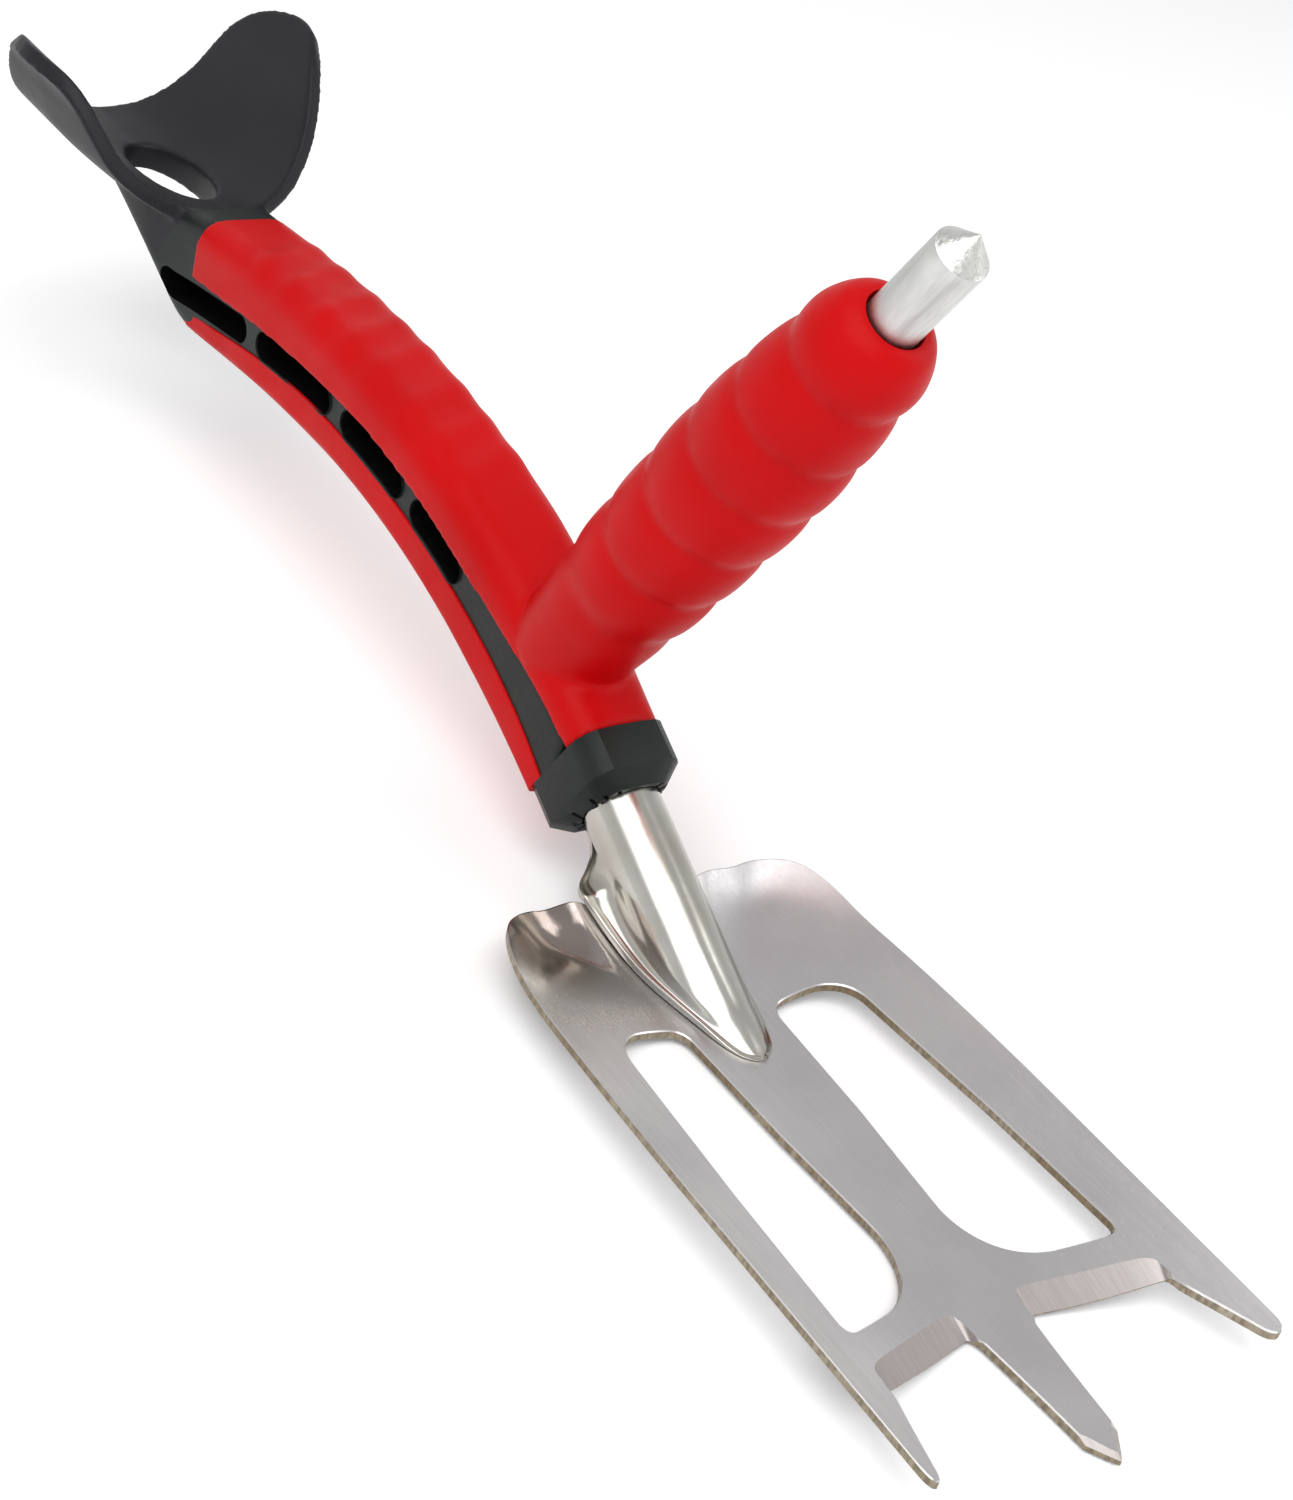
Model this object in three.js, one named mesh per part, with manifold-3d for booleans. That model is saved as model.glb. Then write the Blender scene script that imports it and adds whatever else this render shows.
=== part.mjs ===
// Hand weeder: a three-tined stainless fork on a short tube socket, a beam-shaped nylon handle with an arm
// cradle at its rear end, an upright pistol grip, and an aluminium rod standing out of the top of the grip.
// Millimetres. +X runs forward to the tines, +Y to the user's left, +Z up. All pieces mirror about Y = 0.
// Heights in this file start from the top face of the blade on its centreline; the finished group is moved
// so that the centre of the underside of its box lies at the origin.
import * as THREE from 'three';
import { mergeVertices } from 'three/addons/utils/BufferGeometryUtils.js';
import Module from 'manifold-3d';

const wasm = await Module();
wasm.setup();

// ---- driving dimensions -------------------------------------------------------------------------------
const GAP = 0.3; // clearance between neighbouring pieces

// fork blade
const SHEET = 2.4;
const TROUGH_RADIUS = 123; // the sheet is dished across its width
const BLADE_REAR = 22;
const BLADE_HALF_WIDTH = 50;
const SHOULDER_END = 45; // the shoulder's corner runs into the long outer edge here
const TINE_TIP = 191; // outer tines
const CENTRE_TIP = 197.3;
const TINE_ROOT = 167;
const CENTRE_TINE_ROOT = 7.4; // half widths of the centre tine
const CENTRE_TINE_END = 4.5;
const GRIND_LENGTH = 7; // ground bevel between the tines

// tube socket, on an axis that falls forward
const SOCKET_ANGLE = THREE.MathUtils.degToRad(27);
const SOCKET_ORIGIN = new THREE.Vector3(9.9, 0, 21.5);
const TUBE_RADIUS = 9.75;
const TUBE_WALL = 1.6;
const TUBE_INSIDE_HANDLE = 40;
const SLEEVE_RADIUS = 11.6; // moulding round the tube inside the handle
const FLANGE = 1.7; // thickness of the lips that lie on the blade
const PLUG_LENGTH = 12;

// collar at the front of the handle, measured along the tube (s) and square to it (n)
const COLLAR_FRONT = -2;
const COLLAR_REAR = -16.5;
const COLLAR_HALF_WIDTH = 13;
const COLLAR_HALF_HEIGHT = 15;
const COLLAR_CHAMFER = 4;

// handle beam
const BEAM_REAR = -204;
const STRIP_HALF_WIDTH = 12.5; // the dark strip that shows between the red grips
const TONGUE_HALF_WIDTH = 9; // the parts of the core that the red grips wrap
const PAD_HALF_WIDTH = 14.6;
const PAD_THICKNESS = 5.5;
const PAD_CORNER = 8;
const LOWER_GRIP_HALF_WIDTH = 13;
const LOWER_GRIP_THICKNESS = 3.2;
const SLOT_HEIGHT = 7.4;
const WEB_HALF = 2.5; // solid web left between the slots of the two sides
const SLOTS = [[-223, -174.5], [-168, -127.5], [-121, -88.5], [-83, -58]];

// pistol grip and its rod
const GRIP_BASE = new THREE.Vector3(-10.4, 0, 72.5);
const GRIP_AXIS = new THREE.Vector3(0.498, 0, 0.867).normalize();
const GROOVES = [0, 19.1, 38.6, 57.8, 76, 94]; // distances up the grip from its base
const GROOVE_DEPTH = 0.9;
const GRIP_END = 111.5;
const POST_RADIUS = 10.5; // the core's post inside the grip
const POST_START = -30;
const POST_END = 101.5;
const ROD_RADIUS = 6.35;
const ROD_START = 20;
const ROD_SHOULDER = 134.2;
const ROD_APEX = 140;
const ROD_HOLE = 7.1;

// arm cradle
const WALL = 4.4;
const FLOOR = 65;
const HOLE_CENTRE = -250.5;
const HOLE_HALF_LENGTH = 22;
const HOLE_HALF_WIDTH = 9.8;
const SPLIT_TOP = new THREE.Vector3(-212.5, 0, 73);
const SPLIT_LOW = new THREE.Vector3(-234, 0, 38);

// ---- helpers ------------------------------------------------------------------------------------------
// A smooth function through a few [position, value] pairs.
function line(points) {
  const spline = new THREE.CubicInterpolant(points.map((p) => p[0]), points.map((p) => p[1]), 1);
  return (at) => spline.evaluate(at)[0];
}

// The boolean solid of a closed geometry.
function solid(geometry) {
  const bare = geometry.clone();
  bare.deleteAttribute('normal');
  bare.deleteAttribute('uv');
  const merged = mergeVertices(bare, 1e-4);
  return new wasm.Manifold(new wasm.Mesh({
    numProp: 3,
    vertProperties: new Float32Array(merged.attributes.position.array),
    triVerts: new Uint32Array(merged.index.array),
  }));
}

function geometryOf(manifold) {
  const mesh = manifold.getMesh();
  const geometry = new THREE.BufferGeometry();
  geometry.setAttribute('position', new THREE.BufferAttribute(new Float32Array(mesh.vertProperties), 3));
  geometry.setIndex(new THREE.BufferAttribute(new Uint32Array(mesh.triVerts), 1));
  geometry.computeVertexNormals();
  return geometry;
}

// A closed solid through rings of points, first ring at the rear. A cylinder gives the connections.
function loft(rings) {
  const around = rings[0].length;
  const rows = rings.length - 1;
  const geometry = new THREE.CylinderGeometry(1, 1, 1, around, rows);
  const position = geometry.attributes.position;
  const put = (index, p) => position.setXYZ(index, p.x, p.y, p.z);
  let next = 0;
  for (const ring of rings) {
    for (let k = 0; k <= around; k++) put(next++, ring[k % around]);
  }
  for (const ring of [rings[0], rings[rows]]) {
    const centre = ring.reduce((sum, p) => sum.add(p), new THREE.Vector3()).divideScalar(around);
    for (let k = 0; k < around; k++) put(next++, centre);
    for (let k = 0; k <= around; k++) put(next++, ring[k % around]);
  }
  return solid(geometry);
}

// A full ring from the left half of a section, listed from its top to its bottom as [y, height].
function ring(half, place) {
  const right = half.filter(([y]) => y > 0).reverse().map(([y, height]) => [-y, height]);
  return [...half, ...right].map(([y, height]) => place(y, height));
}

// The left half of a box-like section with rounded top corners (and rounded bottom corners, if asked).
function roundedHalf(width, low, high, topRadius, lowRadius = 0) {
  const half = [];
  const STEPS = 4;
  for (let i = 0; i <= STEPS; i++) {
    const a = (i / STEPS) * Math.PI / 2;
    half.push([width - topRadius + topRadius * Math.sin(a), high - topRadius + topRadius * Math.cos(a)]);
  }
  if (lowRadius === 0) return [...half, [width, low]];
  for (let i = 0; i <= STEPS; i++) {
    const a = (i / STEPS) * Math.PI / 2;
    half.push([width - lowRadius + lowRadius * Math.cos(a), low + lowRadius - lowRadius * Math.sin(a)]);
  }
  return half;
}

function spaced(from, to, count) {
  return Array.from({ length: count + 1 }, (_, i) => THREE.MathUtils.lerp(from, to, i / count));
}

// A point by its distance along the socket's axis, its side offset and its offset square to the axis.
function socketPoint(s, y, n) {
  return new THREE.Vector3(
    SOCKET_ORIGIN.x + s * Math.cos(SOCKET_ANGLE) + n * Math.sin(SOCKET_ANGLE),
    y,
    SOCKET_ORIGIN.z - s * Math.sin(SOCKET_ANGLE) + n * Math.cos(SOCKET_ANGLE),
  );
}

// A round bar on the socket's axis.
function socketBar(radius, from, to, sides = 24) {
  const bar = new THREE.CylinderGeometry(radius, radius, to - from, sides);
  bar.rotateZ(-Math.PI / 2).rotateY(SOCKET_ANGLE);
  const middle = socketPoint((from + to) / 2, 0, 0);
  return solid(bar.translate(middle.x, middle.y, middle.z));
}

// A turned solid on the grip's axis from [distance, radius] pairs that start and end on the axis.
function turnedOnGrip(profile, sides) {
  const geometry = new THREE.LatheGeometry(profile.map(([a, r]) => new THREE.Vector2(r, a)), sides);
  geometry.applyQuaternion(new THREE.Quaternion().setFromUnitVectors(new THREE.Vector3(0, 1, 0), GRIP_AXIS));
  return solid(geometry.translate(GRIP_BASE.x, GRIP_BASE.y, GRIP_BASE.z));
}

function gripBar(radius, from, to, sides = 20) {
  return turnedOnGrip([[from, 0], [from, radius], [to, radius], [to, 0]], sides);
}

// Everything behind the plane at distance s on the socket's axis.
function behindSocketPlane(s) {
  const REACH = 400;
  const box = new THREE.BoxGeometry(REACH, REACH, REACH).translate(-REACH / 2, 0, 0);
  box.rotateY(SOCKET_ANGLE);
  const at = socketPoint(s, 0, 0);
  return solid(box.translate(at.x, at.y, at.z));
}

// ---- fork blade ---------------------------------------------------------------------------------------
// The rear of the sheet curls up into two dished shoulders. Both lines go by the distance from the centreline.
const curlStart = line([[0, 60], [9, 56], [17, 46], [22, 38], [33, 34], [44, 50], [51, 60]]);
const curlRise = line([[0, 0], [7, 0.6], [12, 4], [17, 7.2], [30, 5.2], [38, 5.8], [45, 8], [51, 8.5]]);

function bladeTop(x, y) {
  const across = Math.min(Math.abs(y), BLADE_HALF_WIDTH + 1);
  const trough = TROUGH_RADIUS - Math.sqrt(TROUGH_RADIUS ** 2 - y * y);
  const start = curlStart(across);
  const t = THREE.MathUtils.clamp((start - x) / (start - BLADE_REAR), 0, 1.2);
  return trough + curlRise(across) * t * t;
}

// A sheet that follows the blade's top face, from `low` to `high` above it, finer along the curled rear.
function bladeSheet(low, high) {
  const ALONG = 22;
  const ACROSS = 26;
  const START = BLADE_REAR - 4;
  const END = CENTRE_TIP + 4;
  const CROWDING = 1.7;
  const geometry = new THREE.BoxGeometry(1, 1, 1, ALONG, ACROSS, 1);
  const position = geometry.attributes.position;
  for (let i = 0; i < position.count; i++) {
    const x = START + (END - START) * (position.getX(i) + 0.5) ** CROWDING;
    const y = position.getY(i) * 2 * (BLADE_HALF_WIDTH + 1);
    position.setXYZ(i, x, y, bladeTop(x, y) + (position.getZ(i) > 0 ? high : low));
  }
  return solid(geometry);
}

// Half of the outline, from the rear edge round to the point of the centre tine.
function bladeOutline() {
  const half = new THREE.Path();
  half.moveTo(BLADE_REAR, 0);
  half.lineTo(BLADE_REAR, BLADE_HALF_WIDTH - 19);
  half.quadraticCurveTo(BLADE_REAR + 1, BLADE_HALF_WIDTH - 4.5, SHOULDER_END, BLADE_HALF_WIDTH - 2.6);
  half.quadraticCurveTo(SHOULDER_END + 25, BLADE_HALF_WIDTH - 0.4, SHOULDER_END + 65, BLADE_HALF_WIDTH);
  half.lineTo(TINE_TIP - 1.5, BLADE_HALF_WIDTH);
  half.quadraticCurveTo(TINE_TIP, BLADE_HALF_WIDTH, TINE_TIP, BLADE_HALF_WIDTH - 1.5);
  half.lineTo(TINE_ROOT + 3, BLADE_HALF_WIDTH - 10);
  half.quadraticCurveTo(TINE_ROOT + 0.6, BLADE_HALF_WIDTH - 10.6, TINE_ROOT, BLADE_HALF_WIDTH - 13);
  const notch = TINE_ROOT - GRIND_LENGTH;
  half.lineTo(notch - 0.6, CENTRE_TINE_ROOT + 3);
  half.quadraticCurveTo(notch - 1, CENTRE_TINE_ROOT, notch + 2, CENTRE_TINE_ROOT - 0.3);
  half.lineTo(CENTRE_TIP - 5.5, CENTRE_TINE_END);
  half.lineTo(CENTRE_TIP, 0);
  const points = half.getPoints(6);
  const mirrored = points.slice(1, -1).reverse().map((p) => new THREE.Vector2(p.x, -p.y));
  return new THREE.Shape([...points, ...mirrored]);
}

// One window, on the side given by `side` (+1 or -1).
function windowShape(side) {
  const w = new THREE.Path();
  w.moveTo(66.5, 12.8);
  w.lineTo(98, 11.6);
  w.quadraticCurveTo(120, 9.8, 129, 9.2);
  w.bezierCurveTo(139, 9.2, 147.5, 15, 150, 25.5);
  w.lineTo(152.6, 35);
  w.quadraticCurveTo(153.6, 38.7, 150, 38.6);
  w.lineTo(113, 37);
  w.lineTo(70, 34);
  w.quadraticCurveTo(63, 33, 61, 26.5);
  w.quadraticCurveTo(60.3, 22, 61, 17);
  w.quadraticCurveTo(61.6, 13, 66.5, 12.8);
  return new THREE.Shape(w.getPoints(6).slice(0, -1).map((p) => new THREE.Vector2(p.x, side * p.y)));
}

// An upright solid with the given plan, tall enough to pass through the blade or the cradle.
function prism(shape) {
  const LOW = -30;
  const DEPTH = 120;
  const geometry = new THREE.ExtrudeGeometry(shape, { depth: DEPTH, bevelEnabled: false });
  return solid(geometry.translate(0, 0, LOW));
}

// The wedge ground off the top of the sheet between the centre tine and an outer tine.
function grindCutter(side) {
  const WIDTH = 30.5;
  const REACH = 16;
  const HEIGHT = 8;
  const MIDDLE_X = 156.4; // middle of the line where the ground face starts
  const MIDDLE_Y = 23.4;
  const forward = new THREE.Vector3(GRIND_LENGTH, 0.5 * side, -SHEET).normalize();
  const startLine = new THREE.Vector3(6.5, 27.8 * side, 5.35);
  const up = new THREE.Vector3().crossVectors(forward, startLine).multiplyScalar(side).normalize();
  const square = new THREE.Vector3().crossVectors(up, forward);
  const middle = new THREE.Vector3(MIDDLE_X, MIDDLE_Y * side, bladeTop(MIDDLE_X, MIDDLE_Y));
  const box = new THREE.BoxGeometry(REACH, WIDTH, HEIGHT).translate(REACH / 2, 0, HEIGHT / 2);
  return solid(box.applyMatrix4(new THREE.Matrix4().makeBasis(forward, square, up).setPosition(middle)));
}

function forkBlade() {
  let blade = bladeSheet(-SHEET, 0).intersect(prism(bladeOutline()));
  for (const side of [1, -1]) {
    blade = blade.subtract(prism(windowShape(side))).subtract(grindCutter(side));
  }
  return blade;
}

// ---- tube socket --------------------------------------------------------------------------------------
// Half width of the lips of the socket where they lie on the blade.
const lipHalfWidth = line([[18, 17.2], [26, 14.8], [45, 12.2], [61, 8.2], [68, 5], [73, 1.2], [75, 0.6]]);

// The flattened front of the socket, from lip to lip, swollen along its middle to meet the tube.
function socketFoot() {
  const FRONT = 74;
  const SWELL = 9;
  const DEPTH = 6;
  const geometry = new THREE.BoxGeometry(1, 1, 1, 14, 12, 1);
  const position = geometry.attributes.position;
  for (let i = 0; i < position.count; i++) {
    const x = THREE.MathUtils.lerp(BLADE_REAR + 0.5, FRONT, position.getX(i) + 0.5);
    const across = position.getY(i) * 2;
    const y = across * lipHalfWidth(x);
    const swell = SWELL * (1 - Math.abs(across)) ** 2 * (FRONT - x) / (FRONT - BLADE_REAR);
    position.setXYZ(i, x, y, bladeTop(x, y) + (position.getZ(i) > 0 ? FLANGE + swell : -DEPTH));
  }
  return solid(geometry);
}

function tangSocket() {
  const TUBE_REACH = 90;
  const below = bladeSheet(-40, GAP);
  const tube = socketBar(TUBE_RADIUS, -TUBE_INSIDE_HANDLE, TUBE_REACH);
  const bore = socketBar(TUBE_RADIUS - TUBE_WALL, -TUBE_INSIDE_HANDLE - 1, TUBE_REACH + 1);
  return largestPiece(tube.add(socketFoot()).subtract(bore).subtract(below));
}

function largestPiece(manifold) {
  return manifold.decompose().reduce((best, piece) => (piece.volume() > best.volume() ? piece : best));
}

// One weld bead along the outside of a lip.
function weldSeam(side) {
  const RADIUS = 1.1;
  const FRONT = 66;
  const points = spaced(BLADE_REAR + 3, FRONT, 12).map((x) => {
    const y = lipHalfWidth(x) + GAP + RADIUS;
    return new THREE.Vector3(x, side * y, bladeTop(x, y) + RADIUS + GAP);
  });
  const section = new THREE.Shape();
  section.absarc(0, 0, RADIUS, 0, Math.PI * 2);
  return solid(new THREE.ExtrudeGeometry(section, {
    steps: 16,
    curveSegments: 4,
    bevelEnabled: false,
    extrudePath: new THREE.CatmullRomCurve3(points),
  })).subtract(bladeSheet(-20, GAP * 0.7));
}

function tangPlug() {
  const rear = -TUBE_INSIDE_HANDLE + 1;
  return socketBar(TUBE_RADIUS - TUBE_WALL - GAP, rear, rear + PLUG_LENGTH);
}

// ---- handle core --------------------------------------------------------------------------------------
// Lines of the beam seen from the side: crown of the upper grip, edges of the dark strip, underside.
const crown = line([[-215, 72.5], [-195, 74.3], [-172, 76], [-150, 77], [-129, 76.7], [-108, 75.4],
  [-88, 72.6], [-72, 69.8], [-57, 66.2], [-40, 60.5], [-20, 52.5], [-2, 43.8], [8, 38.5]]);
const stripTop = line([[-215, 55.2], [-190, 57.8], [-168, 60.2], [-145, 61.7], [-124, 62.3], [-107, 61.9],
  [-91, 60.1], [-75, 57.5], [-60, 53.8], [-43, 49], [-27, 44], [-12, 38.6], [2, 32]]);
const stripLow = line([[-215, 43], [-190, 46.9], [-173, 49.8], [-153, 52.4], [-137, 53.4], [-118, 53],
  [-98, 51.2], [-80, 48.5], [-65, 45.3], [-50, 41], [-35, 35.6], [-20, 28.6], [-5, 19.5], [8, 11]]);
const underside = line([[-215, 38.2], [-206, 38.7], [-186, 40.6], [-162, 42.6], [-139, 43.4], [-116, 43],
  [-94, 40.6], [-77, 37.4], [-60, 33], [-44, 27.6], [-27, 21], [-10, 13.2], [8, 3.2]]);

// Section of the core: a wide strip between two narrower tongues. `grow` swells it to cut clearances.
function coreSection(x, grow = 0) {
  const tongueTop = crown(x) - PAD_THICKNESS + grow;
  const tongueLow = underside(x) + LOWER_GRIP_THICKNESS - grow;
  const strip = STRIP_HALF_WIDTH + grow;
  const tongue = TONGUE_HALF_WIDTH + grow;
  const half = [[tongue - 2, tongueTop], [tongue, tongueTop - 2], [tongue, stripTop(x) + grow],
    [strip, stripTop(x) + grow], [strip, stripLow(x) - grow], [tongue, stripLow(x) - grow],
    [tongue, tongueLow + 1], [tongue - 1, tongueLow]];
  return ring(half, (y, z) => new THREE.Vector3(x, y, z));
}

function coreBeam(grow = 0) {
  return loft(spaced(BEAM_REAR - 12, 6, 22).map((x) => coreSection(x, grow)))
    .intersect(behindSocketPlane(COLLAR_REAR + 6));
}

// The dark throat behind the grips, which widens into the underside of the cradle.
const neckHalfWidth = line([[-290, 11], [-275, 13], [-260, 15], [-245, 16.5], [-232, 16.3], [-222, 15],
  [-212, 13.8], [-204, 13.4]]);
const neckTop = line([[-290, 68.5], [-260, 68.5], [-232, 70], [-222, 71], [-212, 71.6], [-204, 72.6]]);
const neckLow = line([[-290, 66], [-275, 64], [-260, 61.4], [-245, 57.6], [-232, 52.2], [-222, 46.4],
  [-212, 40.8], [-204, 38.8]]);
const neckRound = line([[-290, 1.1], [-260, 3], [-240, 5.5], [-222, 6], [-212, 4.5], [-204, 4]
  ]); // corner radius

function neck() {
  return loft(spaced(-288, BEAM_REAR - GAP, 14).map((x) => {
    const half = roundedHalf(neckHalfWidth(x), neckLow(x), neckTop(x), neckRound(x), neckRound(x));
    return ring(half, (y, z) => new THREE.Vector3(x, y, z));
  }));
}

// The two parts of the dark moulding meet on a slanted plane through the throat.
function throatCutter(offset) {
  const REACH = 300;
  const along = new THREE.Vector3().subVectors(SPLIT_TOP, SPLIT_LOW).normalize();
  const forward = new THREE.Vector3(along.z, 0, -along.x);
  const box = new THREE.BoxGeometry(REACH, REACH, REACH).translate(REACH / 2 + offset, 0, 0);
  const side = new THREE.Vector3().crossVectors(along, forward);
  box.applyMatrix4(new THREE.Matrix4().makeBasis(forward, side, along).setPosition(SPLIT_TOP));
  return solid(box);
}

// A pocket sunk into one side of the core, on the middle of the dark strip.
function slotPocket([from, to], side) {
  const middle = (x) => (stripTop(x) + stripLow(x)) / 2;
  const run = to - from;
  const tilt = Math.atan2(middle(to) - middle(from), run);
  const half = run / Math.cos(tilt) / 2 - SLOT_HEIGHT / 2;
  const shape = new THREE.Shape();
  shape.absarc(half, 0, SLOT_HEIGHT / 2, -Math.PI / 2, Math.PI / 2);
  shape.absarc(-half, 0, SLOT_HEIGHT / 2, Math.PI / 2, Math.PI * 1.5);
  const DEPTH = 16;
  const pocket = new THREE.ExtrudeGeometry(shape, { depth: DEPTH, curveSegments: 6, bevelEnabled: false });
  pocket.translate(0, 0, side > 0 ? -WEB_HALF - DEPTH : WEB_HALF);
  pocket.rotateX(Math.PI / 2).rotateY(-tilt);
  return solid(pocket.translate((from + to) / 2, 0, (middle(from) + middle(to)) / 2));
}

function collar() {
  const stations = [[COLLAR_REAR, 0], [COLLAR_FRONT - COLLAR_CHAMFER, 0], [COLLAR_FRONT, COLLAR_CHAMFER]];
  const rings = stations.map(([s, cut]) => {
    const width = COLLAR_HALF_WIDTH - cut * 0.8;
    const height = COLLAR_HALF_HEIGHT - cut;
    const half = [[width * 0.5, height], [width - 2.4, height - 1.6], [width, height - 5.5],
      [width, -height + 4], [width - 2, -height]];
    return ring(half, (y, n) => socketPoint(s, y, n));
  });
  return loft(rings);
}

function handleCore() {
  let core = coreBeam().add(neck().intersect(throatCutter(GAP / 2))).add(collar());
  core = core.add(socketBar(SLEEVE_RADIUS, -TUBE_INSIDE_HANDLE - 3, COLLAR_REAR + 2));
  core = core.add(gripBar(POST_RADIUS, POST_START, POST_END));
  core = core.subtract(socketBar(TUBE_RADIUS + GAP, -TUBE_INSIDE_HANDLE - GAP, 20));
  core = core.subtract(gripBar(ROD_RADIUS + GAP, ROD_START - GAP, GRIP_END));
  for (const slot of SLOTS) {
    for (const side of [1, -1]) core = core.subtract(slotPocket(slot, side));
  }
  return largestPiece(core);
}

// ---- red grips ----------------------------------------------------------------------------------------
// Radius of the pistol grip without its grooves, by the distance up from its base.
const GRIP_START = -30;
const DOME_START = 103;
const gripEnvelope = line([[GRIP_START, 13.8], [-20, 14.6], [-10, 15.4], [0, 16.2], [19, 17.1],
  [38, 17.5], [58, 17.7], [76, 16.9], [94, 14.9], [DOME_START, 14]]);

// Outline of the pistol grip: shallow finger grooves, then a dome with the rod's hole through it.
function gripProfile() {
  const GROOVE_SPREAD = 3.5;
  const profile = [[GRIP_START, 0]];
  const add = (a) => {
    const nearest = Math.min(...GROOVES.map((g) => Math.abs(a - g)));
    const ripple = GROOVE_DEPTH * Math.exp(-((nearest / GROOVE_SPREAD) ** 2));
    profile.push([a, gripEnvelope(a) - ripple]);
  };
  add(GRIP_START);
  add(GRIP_START / 2);
  for (const groove of GROOVES) {
    for (const offset of [-5, 0, 5]) add(groove + offset);
  }
  add(DOME_START);
  profile.push([107, 12.4], [110, 10.2], [GRIP_END, 8], [GRIP_END, 0]);
  return profile;
}

// The long pad on top of the beam, which narrows towards the collar.
function upperPad() {
  const FRONT = 12;
  const NARROWING = -60;
  const FRONT_HALF_WIDTH = 12.6;
  return loft(spaced(BEAM_REAR, FRONT, 22).map((x) => {
    const along = Math.max(x, NARROWING);
    const width = THREE.MathUtils.mapLinear(along, NARROWING, FRONT, PAD_HALF_WIDTH, FRONT_HALF_WIDTH);
    const half = roundedHalf(width, stripTop(x) + GAP, crown(x), PAD_CORNER);
    return ring(half, (y, z) => new THREE.Vector3(x, y, z));
  })).intersect(behindSocketPlane(COLLAR_REAR - GAP));
}

// What the red grips have to clear: the core, the sleeve round the tube, and the collar.
function coreClearance() {
  return coreBeam(GAP)
    .add(socketBar(SLEEVE_RADIUS + GAP, -TUBE_INSIDE_HANDLE - 3 - GAP, COLLAR_REAR))
    .add(socketBar(COLLAR_HALF_HEIGHT + 6, COLLAR_REAR - GAP, 20));
}

function upperGrip() {
  return upperPad().add(turnedOnGrip(gripProfile(), 20))
    .subtract(coreClearance())
    .subtract(gripBar(POST_RADIUS + GAP, GRIP_START - 10, POST_END + GAP))
    .subtract(gripBar(ROD_HOLE, POST_END - 2, GRIP_END + 5));
}

function lowerGrip() {
  const strip = loft(spaced(BEAM_REAR - 3, 6, 22).map((x) => {
    const half = roundedHalf(LOWER_GRIP_HALF_WIDTH, underside(x), stripLow(x) - GAP, 0.6, 4);
    return ring(half, (y, z) => new THREE.Vector3(x, y, z));
  }));
  return strip.intersect(behindSocketPlane(COLLAR_REAR - GAP))
    .subtract(coreClearance())
    .subtract(neckClearance());
}

// The throat fills the beam behind its own front face, so the lower grip stops just ahead of it.
function neckClearance() {
  const SIZE = 60;
  const box = new THREE.BoxGeometry(SIZE, SIZE, SIZE);
  return solid(box.translate(BEAM_REAR - SIZE / 2, 0, underside(BEAM_REAR)));
}

function gripRod() {
  return turnedOnGrip([[ROD_START, 0], [ROD_START, ROD_RADIUS], [ROD_SHOULDER, ROD_RADIUS],
    [ROD_APEX - 0.6, 0.8], [ROD_APEX, 0]], 28);
}

// ---- arm cradle ---------------------------------------------------------------------------------------
// The inner face of the cradle across its width, then its front and rear rims by the distance round it.
const cradleSection = new THREE.SplineCurve([[0, 0], [10, 1.4], [20, 6.4], [27, 14], [31, 23], [34.5, 30.5],
  [38.5, 35], [43, 37]].map(([y, z]) => new THREE.Vector2(y, z)));
const frontRim = line([[0, -214.5], [0.2, -217], [0.38, -222], [0.52, -227], [0.66, -231.5], [0.8, -237],
  [0.9, -244], [1, -257]]);
const rearRim = line([[0, -301], [0.2, -300.5], [0.38, -298.5], [0.52, -295.5], [0.66, -292], [0.8, -286],
  [0.9, -280], [1, -269]]);

const LIP_LIFT = 5; // how far the front of the floor turns up

// A point of the cradle: `side` runs from -1 to 1 across, `along` from the rear rim to the front, and `out`
// is outward.
function cradlePoint(side, along, out) {
  const t = Math.abs(side);
  const p = cradleSection.getPointAt(t);
  const tangent = cradleSection.getTangentAt(t);
  if (t === 0) tangent.set(1, 0);
  const x = THREE.MathUtils.lerp(rearRim(t), frontRim(t), along);
  const lift = LIP_LIFT * Math.max(0, (x + 265) / 50) ** 1.5 * (1 - t * 0.6);
  const y = p.x + tangent.y * out;
  return new THREE.Vector3(x, side < 0 ? -y : y, FLOOR + p.y - tangent.x * out + lift);
}

function cradleShell() {
  const geometry = new THREE.BoxGeometry(1, 1, 1, 9, 22, 1);
  const position = geometry.attributes.position;
  for (let i = 0; i < position.count; i++) {
    const p = cradlePoint(position.getY(i) * 2, position.getX(i) + 0.5, position.getZ(i) > 0 ? 0 : WALL);
    position.setXYZ(i, p.x, p.y, p.z);
  }
  return solid(geometry);
}

// The space for the forearm, which keeps the throat from standing up inside the cradle.
function forearmSpace() {
  const ACROSS = 0.8;
  const HEIGHT = 60;
  const geometry = new THREE.BoxGeometry(1, 1, 1, 9, 14, 1);
  const position = geometry.attributes.position;
  for (let i = 0; i < position.count; i++) {
    const p = cradlePoint(position.getY(i) * 2 * ACROSS, position.getX(i) + 0.5, 0);
    position.setXYZ(i, p.x, p.y, position.getZ(i) > 0 ? FLOOR + HEIGHT : p.z);
  }
  return solid(geometry);
}

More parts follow.
